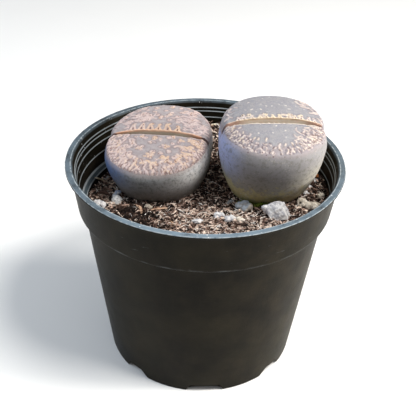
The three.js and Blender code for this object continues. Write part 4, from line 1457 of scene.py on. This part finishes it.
# Lumps that a stone is grown from, each its middle and its half sizes in millimetres about the middle of
# the stone's solid. A stone that is not here keeps its solid's form and grows small knobs.
STONE_LUMPS = {
    "pumice_white": ((-4.6, 0.2, 1.2, 1.2, 1.0, 1.0), (-3.6, 0.0, 0.9, 1.5, 1.4, 1.4)),
    "pumice_grey": (
        (-1.5, 0.4, 0.5, 1.7, 1.4, 1.2), (0.3, 0.8, 0.8, 1.8, 1.4, 1.4), (1.7, -0.2, 0.2, 1.5, 1.5, 1.5),
        (0.4, -0.6, -0.3, 1.9, 1.4, 1.3),
    ),
    "pumice_beige": (
        (-2.5, 1.1, 0.6, 1.9, 1.8, 1.9), (0.2, -0.2, 0.1, 1.7, 1.5, 1.5), (2.2, -1.1, 0.3, 2.1, 1.7, 1.8),
    ),
    "pumice_left": (
        (0.3, -1.2, 0.2, 1.8, 1.9, 1.9), (-0.7, 1.2, 0.7, 1.0, 1.4, 0.9), (-0.1, 2.6, 1.0, 1.1, 0.9, 0.7),
        (0.8, 3.2, 1.1, 0.7, 0.5, 0.5), (-1.7, -2.7, -0.3, 0.9, 0.6, 0.6), (-2.9, -3.0, -0.4, 0.6, 0.5, 0.5),
    ),
    "pumice_rim": ((-0.6, 0.0, 0.5, 2.3, 1.7, 1.7), (1.1, -0.4, 0.3, 1.5, 1.5, 1.6)),
    "perlite_front_a": (
        (-0.7, 0.5, 0.3, 1.2, 1.0, 0.9), (0.6, 0.2, 0.2, 1.2, 1.0, 0.9), (-0.9, -0.9, 0.0, 0.8, 0.8, 0.7),
    ),
    "perlite_front_b": ((-0.7, -0.2, 0.2, 1.3, 1.1, 1.0), (0.6, 0.4, 0.3, 1.3, 1.1, 1.1)),
    "perlite_front_c": ((-0.6, 0.3, 0.5, 1.4, 1.2, 1.1), (0.8, -0.3, 0.4, 1.2, 1.1, 1.0)),
}
# Stones that keep their solid's form beside the lumps above
CORNERED_STONES = ("pumice_white",)
# Deep hollows: a stone's name, the hollow's middle about the stone's, its radius and its depth
STONE_HOLLOWS = {"pumice_beige": (-3.5, -0.3, 1.3, 0.85, 0.6)}
# Where a stone is of a second colour: the direction in which it turns, and where the turn starts and ends
STONE_TURNS = {"pumice_left": ((0, 1, 0), 0.2, 1.2), "pumice_grey": ((0.7, -0.3, -0.5), 0.5, 1.3)}


def knob(middle, half):
    """Points and faces of a smooth lump with half sizes along X, Y and Z."""
    levels = np.linspace(-math.pi / 2, math.pi / 2, 13)
    points, faces = turned([(math.cos(level), math.sin(level)) for level in levels], 20)
    return np.array(points) * half + middle, faces


def stone_form(name, random):
    """A stone before its skin is roughened: its lumps, or its solid with small knobs, in one mesh."""
    solid = frame["nodes"][name]
    low, high = (np.array(corner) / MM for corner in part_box(name))
    middle = (low + high) / 2
    lumps = [(np.array(lump[:3]) + middle, np.array(lump[3:])) for lump in STONE_LUMPS.get(name, ())]
    points, faces = [], []
    if not lumps or name in CORNERED_STONES:
        points = [tuple(point) for point in points_of(solid)]
        faces = [tuple(face.vertices) for face in solid.data.polygons]
    if not lumps:
        half = (high - low) / 2
        for _ in range(5):
            away = random.normal(size=3)
            away /= np.linalg.norm(away)
            lumps.append((middle + away * half * 0.62, half * (0.35 + 0.2 * random.random())))
    for at, half in lumps:
        more, more_faces = knob(at, half)
        faces += [tuple(i + len(points) for i in face) for face in more_faces]
        points += [tuple(point) for point in more]
    return new_object(name + "_stone", points, faces), middle


def build_stone(name, voxel, rough, pits):
    """A stone of pumice or perlite: knobbly, with a rough skin, pits and sometimes a deep hollow."""
    random = np.random.default_rng(sum(ord(letter) for letter in name))
    piece, middle = stone_form(name, random)
    refine(piece, voxel, 2)
    points = points_of(piece)
    normals = normals_of(piece)
    size = np.ptp(points, axis=0).max()
    seed = 50 * random.random()
    at_x, at_y, at_z, wide, deep = STONE_HOLLOWS.get(name, (0, 0, 0, 1, 0))
    hollow = np.exp(-(np.linalg.norm(points - middle - (at_x, at_y, at_z), axis=1) / wide) ** 2) * (deep > 0)
    shift = []
    for point in points:
        local = point - middle + seed
        lump = 0.04 * size * fractal(local, size * 0.3, 4)
        grain = rough * fractal(local, 0.9, 5)
        facet = 0.35 * pits * (0.5 - noise.voronoi(Vector(local / (2.4 * pits)))[0][0])
        cell = noise.voronoi(Vector(local / pits), exponent=2.5)[0][0]
        pit = -0.2 * pits * max(0.0, 1 - cell / 0.32)
        shift.append(lump + facet + grain + pit + 0.05)
    move_points(piece, points + normals * (np.array(shift) - deep * hollow)[:, None])
    keep(piece, "hollow", hollow)
    heading, start, end = STONE_TURNS.get(name, ((0, 0, 0), 1, 2))
    along = (points - middle) @ np.array(heading) + 0.6 * np.array(shift)
    keep(piece, "second", smoothstep(along, start, end))
    return piece


def stone_finish(name, pale, dull, pit, second):
    finish = Finish(name, Specular_IOR_Level=0.25)
    mix, step, lumps = finish.mix, finish.step, finish.lumps
    place = finish.place()
    cloudy = lumps(place, 1.6, 5, 0.65)
    fine = lumps(place, 0.3, 4)
    colour = mix(step(cloudy, 0.38, 0.66), pale, dull)
    turned_colour = mix(step(cloudy, 0.4, 0.7), second, dull)
    colour = mix(finish.kept("second"), colour, turned_colour)
    holes = step(finish.cells(place, 0.75), 0.24, 0.12)
    holes = holes * step(lumps(place, 1.6, 2), 0.42, 0.58)
    colour = mix(holes * 0.7, colour, pit)
    colour = mix(step(fine, 0.58, 0.8) * 0.45, colour, pit)
    # Painted shade: the deep hollow is painted almost black inside
    deep = tuple(0.15 * part for part in pit)
    colour = mix(step(finish.kept("hollow"), 0.35, 0.8) * 0.9, colour, deep)
    finish.set(Base_Color=colour, Roughness=0.92)
    finish.bump(fine - holes, 0.14)
    return finish


def build_scrap(name, splits, seed):
    """A dry scrap from its solid: its ends fray and its skin has a long grain."""
    solid = frame["nodes"][name]
    piece = bpy.data.objects.new(name + "_scrap", solid.data.copy())
    bpy.context.scene.collection.objects.link(piece)
    refine(piece, 0.11, 2)
    points = points_of(piece)
    normals = normals_of(piece)
    middle = points.mean(0)
    _, _, axes = np.linalg.svd(points - middle, full_matrices=False)
    own = (points - middle) @ axes.T
    half = np.abs(own[:, 0]).max()
    shift = []
    for along, across, up in own:
        grain = 0.1 * fractal((along * 0.25 + seed, across * 2.2, up * 2.2), 0.8, 3)
        fray = -0.35 * splits * smoothstep(np.array(abs(along) / half), 0.55, 1.0) * max(
            0.0, fractal((seed, across * 3, up * 3), 0.6, 2))
        shift.append(grain + float(fray) - 0.03)
    keep(piece, "own_place", own)
    move_points(piece, points + normals * np.array(shift)[:, None])
    return piece


def scrap_finish(name, pale, dark):
    finish = Finish(name, Specular_IOR_Level=0.3)
    mix, step, lumps = finish.mix, finish.step, finish.lumps
    own = finish.stretched(finish.kept("own_place", "Vector"), 0.3, 2.5, 2.5)
    grain = lumps(own, 0.8, 5)
    patches = lumps(finish.place(), 1.2, 3)
    colour = mix(step(0.7 * grain + 0.3 * patches, 0.42, 0.56), dark, pale)
    finish.set(Base_Color=colour, Roughness=0.85)
    finish.bump(grain, 0.15)
    return finish


# Settings

def colour_setting(name, what, code):
    return bpy.props.FloatVectorProperty(
        name=name, description="Colour " + what, subtype="COLOR", size=3, min=0, max=1, default=shade(code))


def float_setting(name, description, default, **kind):
    return bpy.props.FloatProperty(name=name, description=description, default=default, **kind)


def share_setting(name, description, default):
    return float_setting(name, description, default, subtype="FACTOR", min=0, max=1)


def count_setting(name, description, low, high, default):
    return bpy.props.IntProperty(name=name, description=description, min=low, max=high, default=default)


def looks_setting(kind, name, description):
    return bpy.props.PointerProperty(type=kind, name=name, description=description)


class PotLooks(bpy.types.PropertyGroup):
    plastic: colour_setting("Plastic", "of the pot's plastic", "#12100b")
    worn_plastic: colour_setting("Worn plastic", "of the plastic where it has dulled", "#1f1c13")
    # Partly painted light: the film is laid on thicker toward the pot's right
    film: colour_setting("Film", "of the dust film on the pot's outside", "#453c2c")
    # Also painted highlights along the rings inside the collar and the ledge's edge
    rubbed_and_highlight: colour_setting("Rubbed edge", "of the edges that are rubbed light", "#a9b0b3")
    # Partly painted reflection of the sky: the dust's blue grey
    dust: colour_setting("Dust", "of the dust on the rim", "#73838f")
    # Painted reflection of the sky on the ledge
    ledge: colour_setting("Ledge", "of the ledge inside the collar's foot", "#4c575c")
    speck: colour_setting("Specks", "of the grit that sticks to the rim", "#d8dadb")
    stain: colour_setting("Stain", "that the soil leaves inside the collar", "#4b4238")
    rim_dust_and_reflection_share: share_setting("Dustiness", "How much dust lies on the rim", 0.9)
    segments: count_setting("Segments", "Steps round the pot", 48, 512, 256)


class SoilLooks(bpy.types.PropertyGroup):
    peat_dark: colour_setting("Dark peat", "of the peat in its hollows", "#17100d")
    peat: colour_setting("Peat", "of the peat", "#44342c")
    husk_dark: colour_setting("Dark husk", "of the darker husk chips", "#765c51")
    husk: colour_setting("Husk", "of the husk chips", "#b89a8a")
    husk_pale: colour_setting("Pale husk", "of the driest husk chips", "#f0dccb")
    fibre: colour_setting("Fibre", "of the palest fibres", "#fff9f2")
    moss_dark: colour_setting("Dark moss", "of the moss in its depth", "#272e10")
    moss: colour_setting("Moss", "of the moss", "#66751f")
    moss_tip: colour_setting("Moss tips", "of the moss's driest tips", "#8f9142")
    cells: count_setting("Cells", "Steps across the soil's surface", 40, 300, 190)
    crumb_count: count_setting("Crumbs", "Number of peat crumbs", 0, 12000, 6200)
    chip_count: count_setting("Chips", "Number of husk chips", 0, 7000, 5600)
    fibre_count: count_setting("Fibres", "Number of thin pale fibres", 0, 6000, 3800)
    moss_count: count_setting("Moss", "Number of moss leaves at the right pair's foot", 0, 4000, 1300)


# Each setting of the leaf pairs: its key, its name, what it is, and its value on the left and the right pair
PAIR_COLOURS = (
    ("window", "Window", "of the face between its marks", "#988f90", "#8c8b8f"),
    ("window_light", "Light window", "of the face's lighter patches", "#a8a0a0", "#969495"),
    ("vein", "Veins", "of the face's fine veins", "#847a7d", "#807e89"),
    ("border", "Border", "of the face's border under its marks", "#ab9995", "#988a8c"),
    ("mark_pale", "Pale marks", "of the cooler marks", "#c3aeab", "#bfb0aa"),
    ("mark_warm", "Warm marks", "of the warmer marks", "#ccab91", "#cbbca4"),
    ("mark_bright", "Bright marks", "of the brightest bits in the cooler marks", "#d9c8c0", "#dcd3ca"),
    ("mark_glow", "Glowing marks", "of the brightest bits in the warmer marks", "#dcc7ae", "#e3d6b8"),
    # The gaps' colour also paints shade along the fissure's crease past its warm run
    ("gap", "Gaps", "of the dark gaps between the marks", "#7b6562", "#685a61"),
    ("gap_warm", "Warm gaps", "of the gaps' redder patches", "#75564b", "#6d574f"),
    ("dot", "Dots", "of the dots in the marks and along the border", "#704d43", "#532c33"),
    ("near_lip", "Near lip", "of the near lip's edge", "#ddcac2", "#e8dfcc"),
    # The far lip and the fissure's middle are partly painted light
    ("far_lip", "Far lip", "of the far lip's edge", "#ebc0a0", "#e0cbb0"),
    ("cleft_middle", "Fissure middle", "inside the fissure's middle", "#d8cab3", "#f2e9da"),
    ("cleft_end", "Fissure ends", "inside the fissure's ends", "#cb9272", "#cda292"),
    # Painted shade deep inside the fissure
    ("cleft_deep", "Fissure depth", "deep inside the fissure", "#7a5b46", "#b59c84"),
    # The foot, the low side and the high side are partly painted light and shade
    ("foot", "Foot", "of the side at the soil", "#5c5443", "#b0a577"),
    ("moss", "Moss", "of the green film at the foot", "#4a4a22", "#5a651b"),
    ("low_side", "Low side", "of the side's lower part", "#716b65", "#ab9a63"),
    ("side", "Side", "of the side", "#7d7b79", "#8d8a80"),
    ("high_side", "High side", "of the side under the face", "#8f9090", "#8f8c8d"),
    ("shaded_side", "Tinted side", "of the side that faces left", "#5b73a0", "#9da8d2"),
    # Painted light on the right flank
    ("bloom", "Bloom", "of the waxy bloom on the right flank", "#f0eeeb", "#d6d0c3"),
    ("speckle", "Speckles", "of the side's fine speckles", "#a9a6a3", "#b9b5a6"),
)
PAIR_SHARES = (
    ("mossiness", "Mossiness", "How green the foot is", 0.25, 0.9),
    # The tint is painted shade on the side that faces left
    ("tint", "Tint", "How strongly the left side is tinted", 0.9, 0.9),
    ("veining", "Veining", "How strongly the veins show", 0.3, 0.7),
    ("halo", "Halo", "How dark the face is close to its marks", 0.45, 0.35),
)


def pair_looks(side):
    """The settings of one pair: side 0 is the left one and 1 the right one."""
    looks = {key: colour_setting(name, what, codes[side]) for key, name, what, *codes in PAIR_COLOURS}
    for key, name, what, *defaults in PAIR_SHARES:
        looks[key] = share_setting(name, what, defaults[side])
    return looks


class LeftPairLooks(bpy.types.PropertyGroup):
    __annotations__ = pair_looks(0)


class RightPairLooks(bpy.types.PropertyGroup):
    __annotations__ = pair_looks(1)


class GritLooks(bpy.types.PropertyGroup):
    # Partly painted light: the left stone's white end is painted paler than the other white stones
    white_clean: colour_setting("Clean white", "of the left stone's white end", "#fbfaf8")
    white: colour_setting("White pumice", "of the white stones", "#dfdddb")
    white_dull: colour_setting("Dull white", "of the white stones' duller parts", "#a4a3a9")
    grey: colour_setting("Grey pumice", "of the grey stones", "#9ba2aa")
    grey_dull: colour_setting("Dull grey", "of the grey stones' duller parts", "#86817c")
    slate: colour_setting("Slate", "of the left stone's bluer end", "#8b9bb8")
    beige: colour_setting("Beige pumice", "of the beige stones", "#e4dccf")
    beige_dull: colour_setting("Dull beige", "of the beige stones' duller parts", "#b9ad9d")
    pit: colour_setting("Pits", "inside the pits", "#7c726c")


class ScrapLooks(bpy.types.PropertyGroup):
    # Partly painted light: the pale twig and fibre are painted near white
    straw: colour_setting("Straw", "of the pale twig and fibre", "#fbf0da")
    straw_dark: colour_setting("Dark straw", "of their darker grain", "#b39d7b")
    tan: colour_setting("Tan husk", "of the tan chip", "#d9b08c")
    tan_dark: colour_setting("Dark tan", "of its darker grain", "#70503e")
    rust: colour_setting("Red husk", "of the reddish chips", "#d8b597")
    rust_dark: colour_setting("Dark red", "of their darker grain", "#6f4c3d")
    orange: colour_setting("Orange bark", "of the bark", "#c07a45")
    orange_dark: colour_setting("Dark orange", "of the bark's darker grain", "#6b3f22")


class StageLooks(bpy.types.PropertyGroup):
    floor: colour_setting("Floor", "of the floor", "#f4f4f2")
    lens: float_setting("Lens", "Focal length of the camera", 65.59, unit="CAMERA", min=1)
    aside: float_setting(
        "Aside", "How far right of the pot's axis the camera stands", 0.0014156, unit="LENGTH")
    back: float_setting(
        "Back", "How far in front of the pot's axis the camera stands", 0.237094, unit="LENGTH")
    height: float_setting("Height", "Height of the camera above the floor", 0.213263, unit="LENGTH")
    dip: float_setting("Dip", "How far the camera looks down", math.radians(33.1103), subtype="ANGLE")
    roll: float_setting(
        "Roll", "How far the camera is turned about its view", math.radians(2.0119), subtype="ANGLE")
    key_power: float_setting("Key light", "Power of the light from the right", 5.6, unit="POWER")
    side_power: float_setting("Side light", "Power of the low light from the right", 6.4, unit="POWER")
    fill_power: float_setting("Fill light", "Power of the cool light from the left", 2.2, unit="POWER")
    sky: float_setting("Sky", "Strength of the light from all round", 0.42, min=0)


class LithopsSettings(bpy.types.PropertyGroup):
    pot: looks_setting(PotLooks, "Pot", "Looks of the pot")
    soil: looks_setting(SoilLooks, "Soil", "Looks of the soil")
    left: looks_setting(LeftPairLooks, "Left pair", "Looks of the left pair")
    right: looks_setting(RightPairLooks, "Right pair", "Looks of the right pair")
    grit: looks_setting(GritLooks, "Grit", "Looks of the stones")
    scraps: looks_setting(ScrapLooks, "Scraps", "Looks of the scraps")
    stage: looks_setting(StageLooks, "Stage", "Floor, camera and lights")


# Operators

class LITHOPS_OT_pot(bpy.types.Operator):
    """Turn the pot, warp it slightly and cut its slots and drains"""
    bl_idname = "lithops.pot"
    bl_label = "Make pot"

    def execute(self, context):
        looks = context.scene.lithops.pot
        points, faces = turned(pot_profile(), looks.segments)
        piece = new_object("pot_shell", warped(points), faces)
        cutters = [drain_cutter(CENTRE_DRAIN_RADIUS, 0, 0, 40)]
        for i in range(NOTCH_COUNT):
            angle = FIRST_NOTCH_ANGLE + i * 2 * math.pi / NOTCH_COUNT
            cutters.append(notch_cutter(NARROW_NOTCH if i % 2 else WIDE_NOTCH, angle))
            cutters.append(drain_cutter(DRAIN_RADIUS, *ray(angle, DRAIN_CIRCLE_RADIUS), 28))
        cut(piece, cutters)
        piece.data.set_sharp_from_angle(angle=SHARP_ANGLE)
        hand_over(piece, pot_finish(looks), "pot_plastic", "pot")
        return {"FINISHED"}


class LITHOPS_OT_soil(bpy.types.Operator):
    """Lay the soil's body with its fine relief"""
    bl_idname = "lithops.soil"
    bl_label = "Make soil"

    def execute(self, context):
        looks = context.scene.lithops.soil
        piece = soil_body(looks.cells)
        hand_over(piece, soil_finish(looks), "peat_soil", "soil")
        return {"FINISHED"}


class LITHOPS_OT_litter(bpy.types.Operator):
    """Strew peat crumbs, husk chips and fibres over the soil"""
    bl_idname = "lithops.litter"
    bl_label = "Strew litter"

    def execute(self, context):
        looks = context.scene.lithops.soil
        random = np.random.default_rng(17)
        boxes = grit_boxes()

        spots = scatter_spots(looks.crumb_count, random, boxes)
        count = len(spots)
        sizes = 0.34 + 1.0 * random.random((count, 1)) ** 3 + 0.22 * random.random((count, 3))
        spots[:, 2] += 0.1 + 0.5 * random.random(count)
        tones = tones_of_bed(spots, random, 4.2, 2.7, 0.1)
        crumbs = scatter_crumbs("soil_crumbs", spots, sizes, tones, random)
        hand_over(crumbs, litter_finish("peat crumbs", looks), "peat_soil")

        spots = scatter_spots(looks.chip_count, random, boxes)
        count = len(spots)
        left = np.exp(-((spots[:, 0] + 36) / 9) ** 2)
        long = (1.1 + 2.7 * random.random(count) ** 2) * (1 + 0.7 * left)
        wide = long * (0.15 + 0.17 * random.random(count))
        thick = wide * (0.35 + 0.3 * random.random(count))
        spots[:, 2] += 0.25 + 0.35 * random.random(count)
        tones = tones_of_bed(spots, random, 3.4, 2.6, 0.15)
        sizes = np.stack([long, wide, thick], 1)
        chips = scatter_splinters("husk_chips", spots, sizes, tones, random)
        hand_over(chips, litter_finish("husk chips", looks), "peat_soil")

        spots = scatter_spots(looks.fibre_count, random, boxes)
        count = len(spots)
        long = 1.1 + 3.0 * random.random(count) ** 2
        wide = 0.17 + 0.22 * random.random(count)
        spots[:, 2] += 0.45 + 0.4 * random.random(count)
        tones = tones_of_bed(spots, random, 2.2, 1.3, 0.1)
        sizes = np.stack([long, wide, wide * 0.8], 1)
        fibres = scatter_splinters("pale_fibres", spots, sizes, tones, random, 5, 0.3, 0.16, 0.3)
        hand_over(fibres, litter_finish("pale fibres", looks), "pale_fibre")
        return {"FINISHED"}


class LITHOPS_OT_moss(bpy.types.Operator):
    """Grow the moss at the right pair's foot"""
    bl_idname = "lithops.moss"
    bl_label = "Grow moss"

    def execute(self, context):
        looks = context.scene.lithops.soil
        random = np.random.default_rng(29)
        spots = moss_spots(looks.moss_count, random)
        long = 0.7 + 0.8 * random.random(len(spots))
        wide = 0.18 + 0.12 * random.random(len(spots))
        sizes = np.stack([long, wide, wide], 1)
        moss = scatter_splinters("moss", spots, sizes, random.random(len(spots)), random, 3, 1.4)
        hand_over(moss, litter_finish("moss", looks), "peat_soil")
        return {"FINISHED"}


class LITHOPS_OT_left_pair(bpy.types.Operator):
    """Grow the left leaf pair, patterned over both faces"""
    bl_idname = "lithops.left_pair"
    bl_label = "Make left pair"

    def execute(self, context):
        piece = build_pair(LEFT_PAIR, *left_strokes())
        finish = leaf_finish("patterned leaf", LEFT_PAIR, context.scene.lithops.left)
        hand_over(piece, finish, "leaf_patterned", LEFT_PAIR.node)
        return {"FINISHED"}


class LITHOPS_OT_right_pair(bpy.types.Operator):
    """Grow the right leaf pair, with its clear window"""
    bl_idname = "lithops.right_pair"
    bl_label = "Make right pair"

    def execute(self, context):
        piece = build_pair(RIGHT_PAIR, *right_strokes())
        finish = leaf_finish("windowed leaf", RIGHT_PAIR, context.scene.lithops.right)
        hand_over(piece, finish, "leaf_windowed", RIGHT_PAIR.node)
        return {"FINISHED"}


class LITHOPS_OT_grit(bpy.types.Operator):
    """Wear and pit the stones"""
    bl_idname = "lithops.grit"
    bl_label = "Make grit"

    def execute(self, context):
        looks = context.scene.lithops.grit
        finishes = {
            key: stone_finish(name, *(getattr(looks, part) for part in parts))
            for key, (name, *parts) in STONE_LOOKS.items()
        }
        slots = {part["node"]: part["material_slot"] for part in frame["record"]["subparts"]}
        for name in sorted(frame["nodes"]):
            slot = slots[name]
            if slot in finishes:
                piece = build_stone(name, *(LARGE_STONE if name.startswith("pumice") else SMALL_STONE))
                hand_over(piece, finishes.get(name, finishes[slot]), slot, name)
        return {"FINISHED"}


class LITHOPS_OT_scraps(bpy.types.Operator):
    """Dry and fray the plant scraps"""
    bl_idname = "lithops.scraps"
    bl_label = "Make scraps"

    def execute(self, context):
        looks = context.scene.lithops.scraps
        finishes = {
            kind: scrap_finish(name, getattr(looks, kind), getattr(looks, kind + "_dark"))
            for kind, name in SCRAP_KINDS.items()
        }
        for seed, (name, (kind, slot, splits)) in enumerate(SCRAPS.items()):
            hand_over(build_scrap(name, splits, 7.3 * seed), finishes[kind], slot, name)
        return {"FINISHED"}


class LITHOPS_OT_stage(bpy.types.Operator):
    """Set the floor, the camera and the lights"""
    bl_idname = "lithops.stage"
    bl_label = "Set stage"

    def execute(self, context):
        looks = context.scene.lithops.stage
        self.lay_floor(context, looks)
        self.set_camera(context, looks)
        self.set_lights(context, looks)
        return {"FINISHED"}

    def lay_floor(self, context, looks):
        points = [(x * FLOOR_HALF, y * FLOOR_HALF, 0) for x, y in ((-1, -1), (1, -1), (1, 1), (-1, 1))]
        floor = new_object("floor", points, [(0, 1, 2, 3)], smooth=False)
        finish = Finish("pale floor", Specular_IOR_Level=0.2)
        cloudy = finish.lumps(finish.place(), 60, 2)
        darker = tuple(0.97 * part for part in looks.floor)
        finish.set(Base_Color=finish.mix(cloudy, looks.floor, darker), Roughness=0.9)
        floor.data.materials.append(finish.material)

    def set_camera(self, context, looks):
        forward = Vector((0, math.cos(looks.dip), -math.sin(looks.dip)))
        right = Vector((1, 0, 0))
        up = right.cross(forward)
        across = math.cos(looks.roll) * right + math.sin(looks.roll) * up
        upward = -math.sin(looks.roll) * right + math.cos(looks.roll) * up
        turn = Matrix((across, upward, -forward)).transposed().to_4x4()
        data = bpy.data.cameras.new("camera")
        data.lens = looks.lens
        data.sensor_width = 36
        data.clip_start = 0.01
        camera = bpy.data.objects.new("camera", data)
        camera.matrix_world = Matrix.Translation((looks.aside, -looks.back, looks.height)) @ turn
        context.scene.collection.objects.link(camera)
        context.scene.camera = camera

    def set_lights(self, context, looks):
        for name, place, size, tint in LIGHTS:
            data = bpy.data.lights.new(name, "AREA")
            data.shape = "DISK"
            data.size = size
            data.energy = getattr(looks, name + "_power")
            data.color = tint
            light = bpy.data.objects.new(name, data)
            light.location = place
            light.rotation_euler = (LIGHTS_AIM - Vector(place)).to_track_quat("-Z", "Y").to_euler()
            context.scene.collection.objects.link(light)
        world = bpy.data.worlds.new("studio")
        context.scene.world = world
        world.use_nodes = True
        backdrop = world.node_tree.nodes["Background"]
        backdrop.inputs["Color"].default_value = (0.95, 0.97, 1.0, 1.0)
        backdrop.inputs["Strength"].default_value = looks.sky
        context.scene.view_settings.view_transform = "Standard"


class LITHOPS_PT_panel(bpy.types.Panel):
    """Lists the steps that make the potted lithops"""
    bl_label = "Potted lithops"
    bl_idname = "LITHOPS_PT_panel"
    bl_space_type = "VIEW_3D"
    bl_region_type = "UI"
    bl_category = "Lithops"

    def draw(self, context):
        for step in STEPS:
            self.layout.operator(step.bl_idname)


STEPS = (
    LITHOPS_OT_stage, LITHOPS_OT_pot, LITHOPS_OT_soil, LITHOPS_OT_litter, LITHOPS_OT_moss,
    LITHOPS_OT_left_pair, LITHOPS_OT_right_pair, LITHOPS_OT_grit, LITHOPS_OT_scraps,
)
CLASSES = (
    PotLooks, SoilLooks, LeftPairLooks, RightPairLooks, GritLooks, ScrapLooks, StageLooks, LithopsSettings,
    *STEPS, LITHOPS_PT_panel,
)


def register():
    for made in CLASSES:
        bpy.utils.register_class(made)
    bpy.types.Scene.lithops = bpy.props.PointerProperty(
        type=LithopsSettings, name="Potted lithops", description="Looks of the potted lithops")


def unregister():
    del bpy.types.Scene.lithops
    for made in reversed(CLASSES):
        bpy.utils.unregister_class(made)


def main():
    register()
    bpy.ops.lithops.stage()
    bpy.ops.lithops.pot()
    bpy.ops.lithops.soil()
    bpy.ops.lithops.litter()
    bpy.ops.lithops.moss()
    bpy.ops.lithops.left_pair()
    bpy.ops.lithops.right_pair()
    bpy.ops.lithops.grit()
    bpy.ops.lithops.scraps()


if __name__ == "__main__":
    main()
